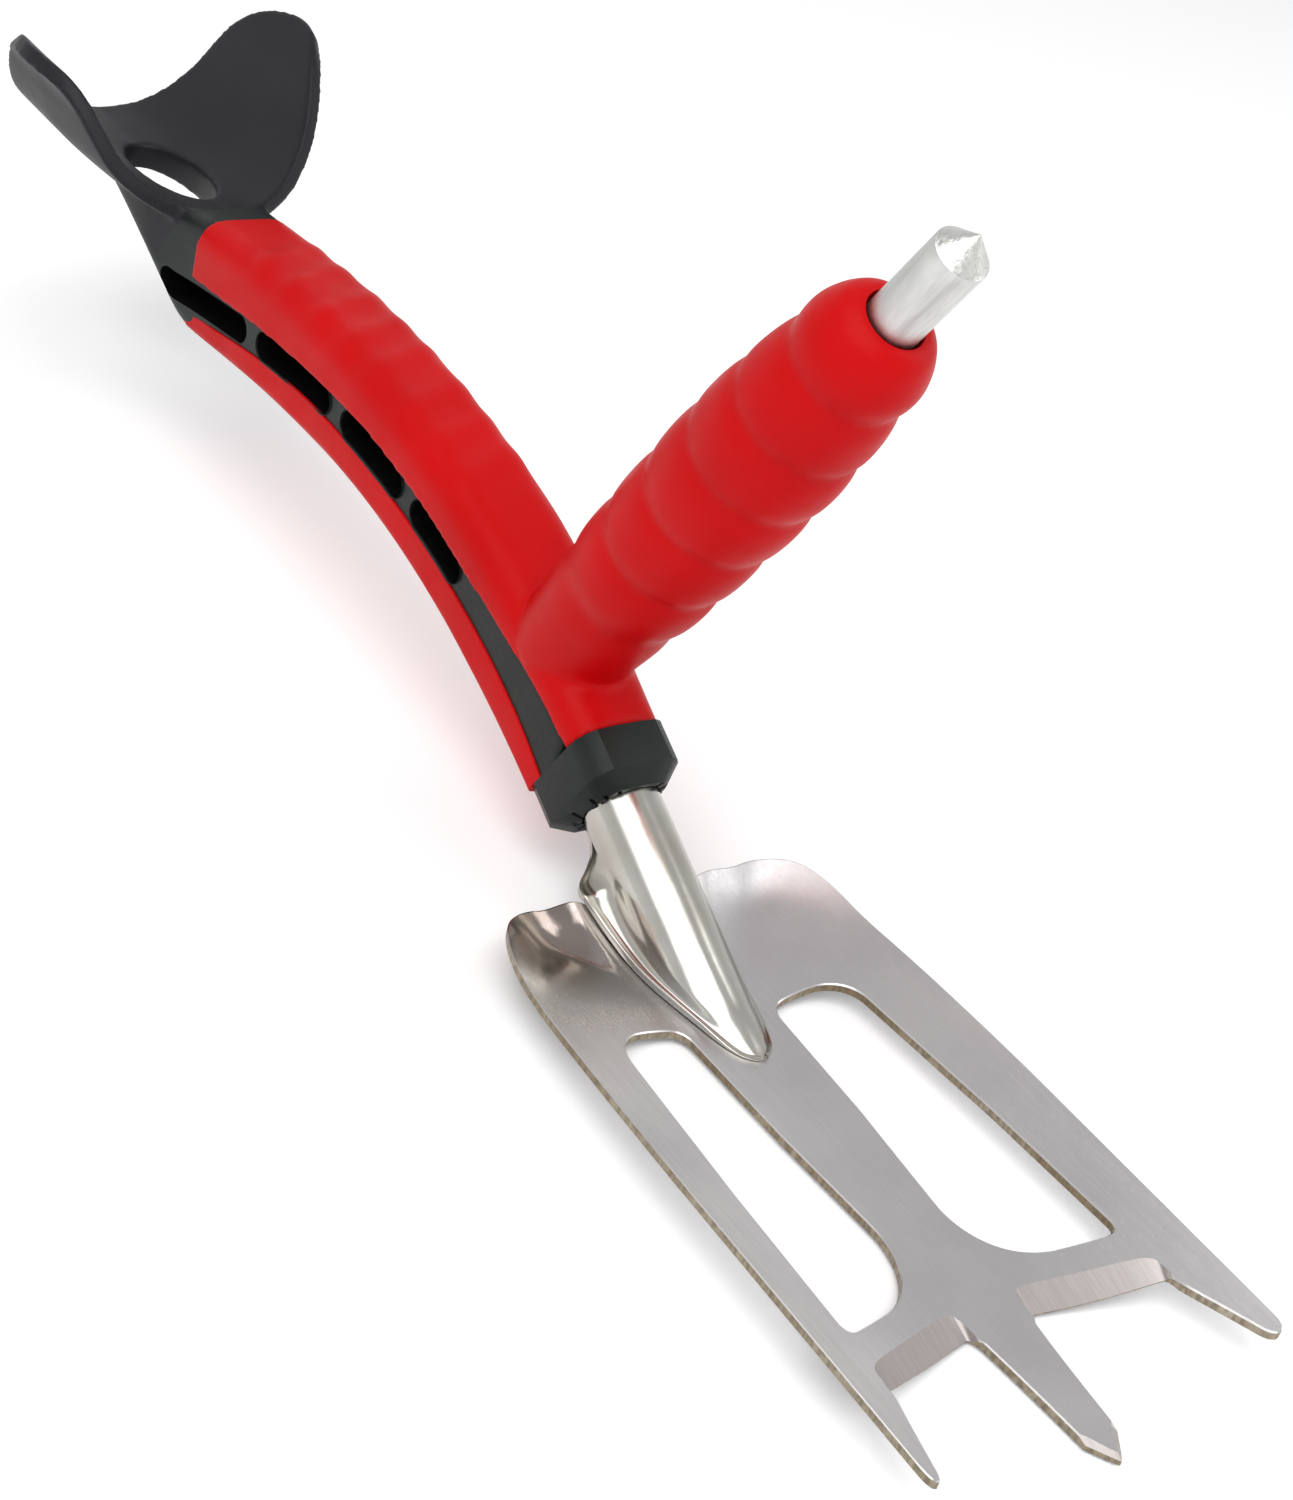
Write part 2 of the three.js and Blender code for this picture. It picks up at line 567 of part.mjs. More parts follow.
function armCradle() {
  const hole = new THREE.Shape();
  hole.absellipse(HOLE_CENTRE, 0, HOLE_HALF_LENGTH, HOLE_HALF_WIDTH, 0, Math.PI * 2);
  const holeCutter = prism(new THREE.Shape(hole.getPoints(7).slice(0, -1)));
  const cradle = cradleShell().add(neck().subtract(forearmSpace())).subtract(holeCutter);
  return largestPiece(cradle.subtract(throatCutter(-GAP / 2)));
}

// ---- assembly -----------------------------------------------------------------------------------------
const steel = { color: 0xb9b6b2, roughness: 0.32, metalness: 1 };
const polished = { color: 0xcfcac2, roughness: 0.12, metalness: 1 };
const aluminium = { color: 0xd8d8d6, roughness: 0.35, metalness: 1 };
const redRubber = { color: 0xc3161b, roughness: 0.55, metalness: 0 };
const darkNylon = { color: 0x2b302e, roughness: 0.5, metalness: 0 };
const softBlack = { color: 0x35363a, roughness: 0.6, metalness: 0 };

const tool = new THREE.Group();

function piece(name, manifold, look) {
  const mesh = new THREE.Mesh(geometryOf(manifold), new THREE.MeshStandardMaterial(look));
  mesh.name = name;
  tool.add(mesh);
}

piece('fork_blade', forkBlade(), steel);
piece('tang_socket', tangSocket(), polished);
piece('weld_seam_left', weldSeam(1), polished);
piece('weld_seam_right', weldSeam(-1), polished);
piece('tang_plug', tangPlug(), darkNylon);
piece('handle_core', handleCore(), darkNylon);
piece('arm_cradle', armCradle(), softBlack);
piece('upper_grip', upperGrip(), redRubber);
piece('lower_grip', lowerGrip(), redRubber);
piece('grip_rod', gripRod(), aluminium);

// Stand the tool on the ground plane with the middle of its footprint at the origin.
const extent = new THREE.Box3().setFromObject(tool);
const middle = extent.getCenter(new THREE.Vector3());
tool.position.set(-middle.x, -middle.y, -extent.min.z);

export default tool;
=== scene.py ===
"""Hand weeder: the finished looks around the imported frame.

Shapes are worked out in millimetres in the tool's own axes: X to the tines, Y to the tool's left, and
heights measured from the top of the blade's centreline. `place` puts them into the frame, in metres.
"""
import math

import bmesh
import bpy
import numpy as np
from mathutils import Matrix, Vector
from mathutils.geometry import delaunay_2d_cdt


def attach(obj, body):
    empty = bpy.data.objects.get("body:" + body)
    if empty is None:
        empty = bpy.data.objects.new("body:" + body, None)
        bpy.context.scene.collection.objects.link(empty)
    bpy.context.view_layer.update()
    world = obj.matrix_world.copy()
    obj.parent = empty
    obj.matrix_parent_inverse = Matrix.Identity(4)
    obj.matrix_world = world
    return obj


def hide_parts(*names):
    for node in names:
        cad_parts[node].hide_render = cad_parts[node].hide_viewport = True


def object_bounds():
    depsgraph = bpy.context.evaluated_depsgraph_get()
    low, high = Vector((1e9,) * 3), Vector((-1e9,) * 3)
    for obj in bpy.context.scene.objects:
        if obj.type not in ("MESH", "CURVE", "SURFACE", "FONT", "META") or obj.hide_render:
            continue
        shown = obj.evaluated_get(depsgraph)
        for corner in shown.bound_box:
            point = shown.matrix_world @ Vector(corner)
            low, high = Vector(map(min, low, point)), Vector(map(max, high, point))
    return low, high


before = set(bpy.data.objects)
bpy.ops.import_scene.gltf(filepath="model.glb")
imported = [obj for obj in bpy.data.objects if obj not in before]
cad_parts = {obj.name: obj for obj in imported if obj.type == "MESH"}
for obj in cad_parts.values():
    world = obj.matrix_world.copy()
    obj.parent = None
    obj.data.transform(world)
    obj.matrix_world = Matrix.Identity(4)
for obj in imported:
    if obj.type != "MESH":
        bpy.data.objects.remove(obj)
cad_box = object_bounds()

# ---- driving dimensions, in mm -------------------------------------------------------------------
SHEET = 2.4
TROUGH_RADIUS = 123.0
BLADE_REAR = 22.0
BLADE_HALF_WIDTH = 50.0
CENTRE_TIP = 197.3
SOCKET_ANGLE = math.radians(27)
SOCKET_ORIGIN = np.array([9.9, 0.0, 21.5])
TUBE_RADIUS = 9.75
FLANGE = 1.7
SOCKET_WALL = 1.2
BROKEN_EDGE = 0.3  # taken off the sheet's cut edges
NET = 2.2  # spacing of the points within the sheet's faces
COLLAR_FRONT = -2.0
COLLAR_REAR = -16.5
COLLAR_HALF_WIDTH = 13.0
COLLAR_HALF_HEIGHT = 15.0
COLLAR_CHAMFER = 4.0
BORE_GAP = 0.35
NOTCH_RADIUS = 11.0  # from the tube's axis to the notches in the collar's face
NOTCH_ANGLES = (0.55, 0.85, 1.15, 1.85, 2.15, 2.45)  # on each side, in radians from the top
BEAM_REAR = -204.0
STRIP_HALF_WIDTH = 12.5
PAD_HALF_WIDTH = 14.6
PAD_CORNER = 8.0
LOWER_GRIP_HALF_WIDTH = 13.0
SLOT_HEIGHT = 8.0
SLOT_DROP = 0.3  # how far the slots lie below the strip's middle
SLOT_MARGIN = 0.2
BEAD = 0.42
WEB_HALF = 2.5
SLOTS = [(-221.5, -173.5), (-167.5, -126.5), (-120.5, -87.5), (-82.5, -56.5)]
RIPPLES = (-178, -163, -146, -131, -117, -100, -86, -72)
RIPPLE_HEIGHT = 0.6
RIPPLE_HALF_LENGTH = 4.2
RIPPLE_SLANT = 0.35
GRIP_BASE = np.array([-10.4, 0.0, 72.5])
GRIP_AXIS = np.array([0.498, 0.0, 0.867]) / math.hypot(0.498, 0.867)
GROOVES = [0, 19.1, 38.6, 57.8, 76, 94]
GROOVE_DEPTH = 0.85
GROOVE_DEPTH_IN_FRONT = 0.75  # on top of that, where the fingers lie
GROOVE_HALF_LENGTH = 3.0
DOME_START = 104.0  # where the upright grip's rounded end begins, up its axis
GRIP_END = 111.5
ROD_RADIUS = 6.35
ROD_SHOULDER = 134.2
ROD_APEX = 140.0
ROD_HOLE = 7.1
ROD_END_RADIUS = 0.55
WALL = 4.4
FLOOR = 65.0
EDGE_LIFT = 5.0  # how much the cradle's front edge rises
LIFT_START = -265.0
LIFT_LENGTH = 50.0
THROAT_FRONT = -209.0
HOLE_CENTRE = -250.5
HOLE_HALF_LENGTH = 22.0
HOLE_HALF_WIDTH = 9.8
SKIRT_LOW = 57.5  # the wall round the cradle's hole reaches down to here
VOXEL = 0.8  # fineness of the fused mouldings
SPLIT_TOP = np.array([-212.5, 0.0, 73.0])
SPLIT_LOW = np.array([-234.0, 0.0, 38.0])

# where the tool's own origin lies in the frame
OFFSET = np.array([cad_box[1][0] * 1000 - CENTRE_TIP, 0.0, cad_box[0][2] * 1000 + SHEET])


def place(points):
    return (np.asarray(points, float) + OFFSET) / 1000.0


# ---- lines and curves ----------------------------------------------------------------------------
def line(points):
    """A smooth function through a few (position, value) pairs, flat beyond its ends."""
    x = np.array([p[0] for p in points], float)
    y = np.array([p[1] for p in points], float)
    h = np.diff(x)
    d = np.diff(y) / h
    m = np.concatenate([[d[0]], (d[:-1] * h[1:] + d[1:] * h[:-1]) / (h[:-1] + h[1:]), [d[-1]]])

    def value(at):
        a = np.clip(np.asarray(at, float), x[0], x[-1])
        i = np.clip(np.searchsorted(x, a, side="right") - 1, 0, len(h) - 1)
        t = (a - x[i]) / h[i]
        return (y[i] * (1 + 2 * t) * (1 - t) ** 2 + m[i] * h[i] * t * (1 - t) ** 2
                + y[i + 1] * t * t * (3 - 2 * t) + m[i + 1] * h[i] * t * t * (t - 1))
    return value


def bezier(points, count):
    """Points on a straight line or a curve pulled by control points, without its last point."""
    t = np.linspace(0, 1, count + 1)[:-1, None]
    p = [np.array(q, float) for q in points]
    while len(p) > 1:
        p = [a * (1 - t) + b * t for a, b in zip(p[:-1], p[1:])]
    return p[0]


def smoothstep(a, b, x):
    """Rises from 0 at `a` to 1 at `b`, whichever of the two is the larger."""
    t = np.clip((np.asarray(x, float) - a) / (b - a), 0, 1)
    return t * t * (3 - 2 * t)


crown = line([(-215, 72.5), (-195, 74.3), (-172, 76), (-150, 77), (-129, 76.7), (-108, 75.4), (-88, 72.6),
              (-72, 69.8), (-57, 66.2), (-40, 60.5), (-20, 52.5), (-2, 43.8), (8, 38.5)])
strip_top = line([(-215, 55.2), (-190, 57.8), (-168, 60.2), (-145, 61.7), (-124, 62.3), (-107, 61.9),
                  (-91, 60.1), (-75, 57.5), (-60, 53.8), (-43, 49), (-27, 44), (-12, 38.6), (2, 32)])
strip_low = line([(-215, 43), (-190, 46.9), (-173, 49.8), (-153, 52.4), (-137, 53.4), (-118, 53),
                  (-98, 51.2), (-80, 48.5), (-65, 45.3), (-50, 41), (-35, 35.6), (-20, 28.6), (-5, 19.5),
                  (8, 11)])
underside = line([(-215, 38.2), (-206, 38.7), (-186, 40.6), (-162, 42.6), (-139, 43.4), (-116, 43),
                  (-94, 40.6), (-77, 37.4), (-60, 33), (-44, 27.6), (-27, 21), (-10, 13.2), (8, 3.2)])
neck_half_width = line([(-290, 11), (-275, 13), (-260, 15), (-245, 16.5), (-232, 16.3), (-222, 15),
                        (-212, 13.8), (-204, 13.1), (-190, 12.5)])
neck_top = line([(-290, 68.5), (-260, 68.5), (-232, 70), (-222, 71), (-212, 71.6), (-204, 72.2),
                 (-190, 66)])
neck_low = line([(-290, 66), (-275, 64), (-260, 61.2), (-245, 56.9), (-232, 50.6), (-222, 44.3),
                 (-212, 39.6), (-204, 38.6), (-190, 45)])
neck_round = line([(-290, 1.1), (-260, 3), (-240, 5.5), (-222, 6), (-212, 4.5), (-204, 4), (-190, 1)])
curl_start = line([(0, 60), (9, 56), (17, 46), (22, 38), (33, 34), (44, 50), (51, 60)])
curl_rise = line([(0, 0), (7, 0.6), (12, 4), (17, 7.2), (30, 5.2), (38, 5.8), (45, 8), (51, 8.5)])
lip_half_width = line([(0, 4.6), (8, 6.2), (12, 8.6), (15, 11.8), (17.5, 15), (20, 16.4), (26, 14.8),
                       (45, 12.2), (61, 8.6), (67, 7.2), (71, 5.8), (74, 4), (76, 1.4)])
lip_thickness = line([(20, FLANGE), (56, FLANGE), (66, 1.15), (72, 0.5), (76, 0.12)])
# the height of the rim behind the blade
trumpet_rim = line([(0, 16.4), (8, 13.2), (12, 12.1), (15, 11), (17.5, 10.1), (20, 9.8), (22, 9.8)])
# where the skin turns off the tube, in degrees above its side
leave_angle = line([(0, -64), (8, -52), (12, -36), (15, -20), (17.5, -10), (22, -4), (30, -4), (40, 6),
                    (50, 27), (56, 41), (62, 56), (68, 70), (75, 84)])
crest = line([(0, 37.49), (20, 27.3), (40, 17.11), (58, 7.94), (63, 5.6), (68, 3.7), (72, 2.0),
              (74.5, 0.9), (76, 0.3)])
grip_envelope = line([(-30, 13.8), (-20, 14.6), (-10, 15.4), (0, 16.2), (19, 17.1), (38, 17.5),
                      (58, 17.7), (76, 16.9), (94, 14.9), (103, 14), (107, 12.4), (110, 10.2),
                      (111.5, 8)])


def socket_point(s, y, n):
    """A point by its distance along the socket, side offset, and offset square to the socket."""
    c, q = math.cos(SOCKET_ANGLE), math.sin(SOCKET_ANGLE)
    return np.array([SOCKET_ORIGIN[0] + s * c + n * q, y, SOCKET_ORIGIN[2] - s * q + n * c])


GRIP_FRONT = np.array([GRIP_AXIS[2], 0.0, -GRIP_AXIS[0]])  # square to the grip, facing forward
GRIP_LEFT = np.array([0.0, 1.0, 0.0])


def grip_point(a, radius, angle):
    """A point round the upright grip; angle 0 faces forward."""
    return (GRIP_BASE + GRIP_AXIS * a
            + GRIP_FRONT * radius * math.cos(angle) + GRIP_LEFT * radius * math.sin(angle))


# ---- mesh helpers --------------------------------------------------------------------------------
SHARP = math.radians(38)


def add(name, data):
    thing = bpy.data.objects.new(name, data)
    bpy.context.scene.collection.objects.link(thing)
    return thing


def mesh_object(name, points, faces, materials=None, weld=1e-7):
    """An object from points in mm. `materials` numbers its faces; points within `weld` metres are joined."""
    mesh = bpy.data.meshes.new(name)
    mesh.from_pydata([tuple(p) for p in place(points)], [], [tuple(int(i) for i in f) for f in faces])
    if materials is not None:
        mesh.polygons.foreach_set("material_index", materials)
    work = bmesh.new()
    work.from_mesh(mesh)
    bmesh.ops.remove_doubles(work, verts=work.verts, dist=weld)
    bmesh.ops.recalc_face_normals(work, faces=work.faces)
    work.to_mesh(mesh)
    work.free()
    return add(name, mesh)


def shade(piece, angle=SHARP):
    piece.data.shade_smooth()
    piece.data.set_sharp_from_angle(angle=angle)
    return piece


def baked(piece):
    """Applies the piece's modifiers to its mesh."""
    graph = bpy.context.evaluated_depsgraph_get()
    mesh = bpy.data.meshes.new_from_object(piece.evaluated_get(graph))
    piece.modifiers.clear()
    piece.data = mesh
    return piece


def drop(piece):
    bpy.data.objects.remove(piece)


def around(count):
    """Evenly spaced angles round a full turn."""
    return np.linspace(0, 2 * math.pi, count + 1)[:-1]


def loft(name, rings):
    """A closed mesh through rings of points."""
    rings = [np.asarray(r, float) for r in rings]
    k = len(rings[0])
    points = np.concatenate(rings)
    faces = []
    for i in range(len(rings) - 1):
        for j in range(k):
            a, b = i * k + j, i * k + (j + 1) % k
            faces.append((a, b, b + k, a + k))
    faces.append(tuple(range(k))[::-1])
    faces.append(tuple(range(len(points) - k, len(points))))
    return mesh_object(name, points, faces)


def slab(name, first, second, rows, columns):
    """A closed mesh between two grids of points, each listed row by row."""
    layer = rows * columns
    faces = []
    for i in range(rows - 1):
        for j in range(columns - 1):
            a = i * columns + j
            faces.append((a, a + 1, a + columns + 1, a + columns))
            faces.append((a + layer, a + columns + layer, a + columns + 1 + layer, a + 1 + layer))
    rim = [(0, j) for j in range(columns)] + [(i, columns - 1) for i in range(1, rows)]
    rim += [(rows - 1, j) for j in range(columns - 2, -1, -1)] + [(i, 0) for i in range(rows - 2, 0, -1)]
    loop = [i * columns + j for i, j in rim]
    faces += [(a, a + layer, b + layer, b) for a, b in zip(loop, loop[1:] + loop[:1])]
    return mesh_object(name, list(first) + list(second), faces)


def rounded_half(width, low, high, top_radius, low_radius=0.0, steps=8):
    """Left half of a box-like section, top to bottom, as (y, height)."""
    turn = np.linspace(0, math.pi / 2, steps + 1)
    r = top_radius
    half = [(width - r + r * math.sin(a), high - r + r * math.cos(a)) for a in turn]
    if low_radius == 0:
        return half + [(width, low)]
    r = low_radius
    return half + [(width - r + r * math.cos(a), low + r - r * math.sin(a)) for a in turn]


def full_ring(half, spread=None):
    """Mirrors a half section; `spread` spaces that many points evenly round it."""
    ring = list(half) + [(-y, h) for y, h in reversed(half)]
    if spread is None:
        return ring
    ring = np.array(ring, float)
    closed = np.vstack([ring, ring[:1]])
    along = np.concatenate([[0], np.cumsum(np.linalg.norm(np.diff(closed, axis=0), axis=1))])
    at = np.linspace(0, along[-1], spread + 1)[:-1]
    return np.stack([np.interp(at, along, closed[:, 0]), np.interp(at, along, closed[:, 1])], axis=1)


def beam_ring(x, half, spread=72):
    return [(x, y, z) for y, z in full_ring(half, spread)]


def cut(piece, cutter, operation="DIFFERENCE"):
    modifier = piece.modifiers.new("cut", "BOOLEAN")
    modifier.operation = operation
    modifier.object = cutter
    modifier.solver = "EXACT"
    baked(piece)
    drop(cutter)
    return piece


def join(name, pieces):
    work = bmesh.new()
    for p in pieces:
        work.from_mesh(p.data)
        drop(p)
    mesh = bpy.data.meshes.new(name)
    work.to_mesh(mesh)
    work.free()
    return add(name, mesh)


def fuse(piece, smoothing):
    """Melts overlapping closed shapes into one skin with soft inner corners."""
    remesh = piece.modifiers.new("fuse", "REMESH")
    remesh.mode = "VOXEL"
    remesh.voxel_size = VOXEL / 1000
    smooth = piece.modifiers.new("soften", "SMOOTH")
    smooth.factor = 0.5
    smooth.iterations = smoothing
    return baked(piece)


def bevel(piece, width, segments, angle):
    b = piece.modifiers.new("bevel", "BEVEL")
    b.width = width / 1000
    b.segments = segments
    b.limit_method = "ANGLE"
    b.angle_limit = math.radians(angle)
    return baked(piece)


def half_space(name, corner, forward):
    """A big box ahead of the plane through `corner`, square to `forward`."""
    reach = 300.0
    forward = np.array(forward, float) / np.linalg.norm(forward)
    up = np.array([-forward[2], 0.0, forward[0]])
    side = np.array([0.0, 1.0, 0.0])
    points = [corner + forward * f * reach + up * u * reach + side * s * reach
              for f in (0, 1) for u in (-1, 1) for s in (-1, 1)]
    faces = [(0, 1, 3, 2), (4, 6, 7, 5), (0, 4, 5, 1), (2, 3, 7, 6), (0, 2, 6, 4), (1, 5, 7, 3)]
    return mesh_object(name, points, faces)


def trim_at_collar(piece):
    """Ends a grip square to the socket, at the collar's rear face."""
    return cut(piece, half_space("ahead", socket_point(COLLAR_REAR, 0, 0),
                                 socket_point(1, 0, 0) - socket_point(0, 0, 0)))


# ---- fork blade ----------------------------------------------------------------------------------
def blade_top(x, y):
    across = np.minimum(np.abs(y), BLADE_HALF_WIDTH + 1)
    trough = TROUGH_RADIUS - np.sqrt(TROUGH_RADIUS ** 2 - np.asarray(y, float) ** 2)
    start = curl_start(across)
    t = np.clip((start - x) / (start - BLADE_REAR), 0, 1.2)
    return trough + curl_rise(across) * t * t


def passing(points, count):
    """Points on a smooth line that passes through the given ones."""
    p = np.array(points, float)
    at = np.arange(len(p))
    want = np.linspace(0, len(p) - 1, count)
    return np.stack([line(list(zip(at, p[:, k])))(want) for k in (0, 1)], axis=1)


def outline_half():
    """Left half of the blade's outline, from the rear centre to the point.

    Returns the outline, and beside it the top edge where grinding moves it back (nan elsewhere)."""
    w, r = BLADE_HALF_WIDTH, BLADE_REAR
    plain = [
        bezier([(r, 0), (r, w - 19)], 16),
        bezier([(r, w - 19), (r + 1, w - 4.5), (45, w - 2.6)], 22),
        bezier([(45, w - 2.6), (70, w - 0.4), (110, w)], 30),
        bezier([(110, w), (187, w)], 40),
        bezier([(187, w), (191.6, w), (191.2, w - 2.2)], 8),
        bezier([(191.2, w - 2.2), (190.6, w - 3.6), (187.5, w - 4.4)], 6),
        bezier([(187.5, w - 4.4), (180, 43.3), (171, 40.3)], 14),
    ]
    outline = np.concatenate(plain)
    top = np.full_like(outline, np.nan)
    notch = passing([(170.6, 40.3), (168, 39.7), (166.9, 37.6), (163.4, 24), (160.2, 11), (160, 8.6),
                     (162.2, 7.5)], 34)
    ground = passing([(170.4, 40.5), (166.2, 40.1), (161.4, 38.0), (156.8, 24), (153.8, 11.2), (155.6, 8.6),
                      (161.8, 7.8)], 34)
    tine = bezier([(162.8, 7.35), (176, 5.7), (190.6, 4.6)], 18)
    point = np.vstack([bezier([(191.2, 4.55), (CENTRE_TIP - 0.4, 0.5)], 6), [(CENTRE_TIP, 0.0)]])
    point_top = np.vstack([bezier([(190.0, 3.5), (CENTRE_TIP - 2.0, 0.4)], 6), [(CENTRE_TIP - 1.7, 0.0)]])
    outline = np.concatenate([outline, notch, tine, point])
    top = np.concatenate([top, ground, np.full_like(tine, np.nan), point_top])
    return outline, top


def window_outline():
    return np.concatenate([
        bezier([(66.5, 12.8), (98, 11.6)], 14),
        bezier([(98, 11.6), (120, 9.8), (129, 9.2)], 14),
        bezier([(129, 9.2), (139, 9.2), (147.5, 15), (150, 25.5)], 22),
        bezier([(150, 25.5), (152.6, 35)], 6),
        bezier([(152.6, 35), (153.6, 38.7), (150, 38.6)], 8),
        bezier([(150, 38.6), (113, 37)], 14),
        bezier([(113, 37), (70, 34)], 16),
        bezier([(70, 34), (63, 33), (61, 26.5)], 10),
        bezier([(61, 26.5), (60.3, 22), (61, 17)], 8),
        bezier([(61, 17), (61.6, 13), (66.5, 12.8)], 8),
    ])


def inward(loop):
    """Unit normals to the left of a closed loop's direction."""
    ahead = np.roll(loop, -1, axis=0) - np.roll(loop, 1, axis=0)
    ahead /= np.linalg.norm(ahead, axis=1)[:, None]
    return np.stack([-ahead[:, 1], ahead[:, 0]], axis=1)


def blade_loops():
    """The outer loop and the two windows, each with the top edge of its ground faces (nan elsewhere)."""
    half, half_top = outline_half()
    outer = np.concatenate([half, (half[1:-1] * [1, -1])[::-1]])
    outer_top = np.concatenate([half_top, (half_top[1:-1] * [1, -1])[::-1]])
    window = window_outline()
    loops = [(outer, outer_top)]
    for side in (1, -1):
        loop = window * [1, side]
        loops.append((loop, np.full_like(loop, np.nan)))
    return loops


def edge_rings(loop, top, solid_side):
    """Four rings of points down a cut edge, from the upper face to the lower one."""
    area = np.sum(loop[:, 0] * np.roll(loop[:, 1], -1) - np.roll(loop[:, 0], -1) * loop[:, 1]) / 2
    into = inward(loop) * (1 if area > 0 else -1) * solid_side
    ground = ~np.isnan(top[:, 0])
    lower = loop + into * BROKEN_EDGE
    upper = np.where(ground[:, None], top, lower)
    z = blade_top(loop[:, 0], loop[:, 1])
    across = np.linalg.norm(upper - loop, axis=1)
    drop_by = np.where(ground, np.minimum(SHEET - 0.55, 0.2 + 0.45 * across), BROKEN_EDGE)
    return [np.column_stack([upper, blade_top(upper[:, 0], upper[:, 1])]),
            np.column_stack([loop, z - drop_by]),
            np.column_stack([loop, z - SHEET + 0.25]),
            np.column_stack([lower, blade_top(lower[:, 0], lower[:, 1]) - SHEET])]


def fill(rings):
    """Fills the face between the outer ring and the windows with an even net of points."""
    coords, edges = [], []
    for ring in rings:
        base = len(coords)
        coords += [Vector(p) for p in ring]
        edges += [(base + i, base + (i + 1) % len(ring)) for i in range(len(ring))]
    border = np.concatenate(rings)
    for x in np.arange(BLADE_REAR + 1, CENTRE_TIP, NET):
        for y in np.arange(-22 * NET, BLADE_HALF_WIDTH - 1, NET):
            if np.min(np.hypot(border[:, 0] - x, border[:, 1] - y)) > NET / 2 and inside(x, y, rings):
                coords.append(Vector((x, y)))
    verts, _, tris, *_ = delaunay_2d_cdt(coords, edges, [], 0, 1e-5)
    flat = np.array([tuple(v) for v in verts])
    return flat, [tri for tri in tris if inside(*flat[list(tri)].mean(axis=0), rings)]


def blade_mesh():
    """The blade's points, faces and the material of each face."""
    FACE, CUT, GROUND = 0, 1, 2
    UPPER, LOWER = 0, 3
    rims = [edge_rings(loop, top, 1 if index == 0 else -1) for index, (loop, top) in enumerate(blade_loops())]
    points, faces, slots = [], [], []
    for level, height in ((UPPER, 0.0), (LOWER, -SHEET)):
        flat, tris = fill([rim[level][:, :2] for rim in rims])
        base = len(points)
        points.extend(np.column_stack([flat, blade_top(flat[:, 0], flat[:, 1]) + height]).tolist())
        for tri in tris:
            faces.append([base + i for i in (tri if level == UPPER else reversed(tri))])
            slots.append(FACE)
    for rim in rims:
        n = len(rim[0])
        base = len(points)
        for ring in rim:
            points.extend(ring.tolist())
        for row, plain in enumerate((FACE, CUT, FACE)):
            for i in range(n):
                a, b = base + row * n + i, base + row * n + (i + 1) % n
                wide = np.linalg.norm(rim[0][i][:2] - rim[1][i][:2]) > 1.0
                faces.append([a, b, b + n, a + n])
                slots.append(GROUND if row == 0 and wide else plain)
    return np.array(points), faces, slots


def inside(x, y, rings):
    """Whether a point lies within an odd number of the rings."""
    odd = False
    for ring in rings:
        x0, y0 = ring[:, 0], ring[:, 1]
        x1, y1 = np.roll(x0, -1), np.roll(y0, -1)
        crosses = (y0 > y) != (y1 > y)
        with np.errstate(divide="ignore", invalid="ignore"):
            at = (x1 - x0) * (y - y0) / (y1 - y0) + x0
        odd ^= bool(np.count_nonzero(crosses & (x < at)) % 2)
    return odd


def fork_blade():
    piece = mesh_object("blade_formed", *blade_mesh(), weld=2e-6)
    shade(piece, math.radians(30))
    work = bmesh.new()
    work.from_mesh(piece.data)
    for border in work.edges:
        if len({face.material_index for face in border.link_faces}) > 1:
            border.smooth = False
    work.to_mesh(piece.data)
    work.free()
    return piece


# ---- tube socket ---------------------------------------------------------------------------------
def foot_section(x, count=40):
    """Half of the socket's skin at one station, from the crest down to the lip, as (y, z)."""
    tall = TUBE_RADIUS / math.cos(SOCKET_ANGLE)
    centre = float(crest(x)) - tall
    lip = float(lip_half_width(x))
    lip_z = float(trumpet_rim(x))
    thick = float(lip_thickness(x))
    if x > BLADE_REAR:
        lip_z = float(blade_top(x, lip)) + 0.1 + thick
    turn = math.radians(float(leave_angle(x)))
    arc = np.linspace(math.pi / 2, turn, count // 2)
    skin = np.stack([TUBE_RADIUS * np.cos(arc), centre + tall * np.sin(arc)], axis=1)
    start = skin[-1]
    end = np.array([max(lip - 0.5, 0.05), lip_z])
    reach = np.linalg.norm(end - start)
    heading = np.array([TUBE_RADIUS * math.sin(turn), -tall * math.cos(turn)])
    heading /= np.linalg.norm(heading)
    ahead = max(x, BLADE_REAR + 3)
    slope = float(blade_top(ahead, lip + 0.5) - blade_top(ahead, max(lip - 0.5, 0)))
    out = np.array([1.0, slope])
    out /= np.linalg.norm(out)
    flare = bezier([start, start + heading * reach * 0.42, end - out * reach * 0.42, end], count // 2)
    edge = [end, (lip - 0.12, lip_z - 0.09 * thick), (lip, lip_z - 0.3 * thick), (lip, lip_z - 0.88 * thick),
            (lip - 0.3, lip_z - thick)]
    return np.concatenate([skin[:-1], flare, np.array(edge, float)])


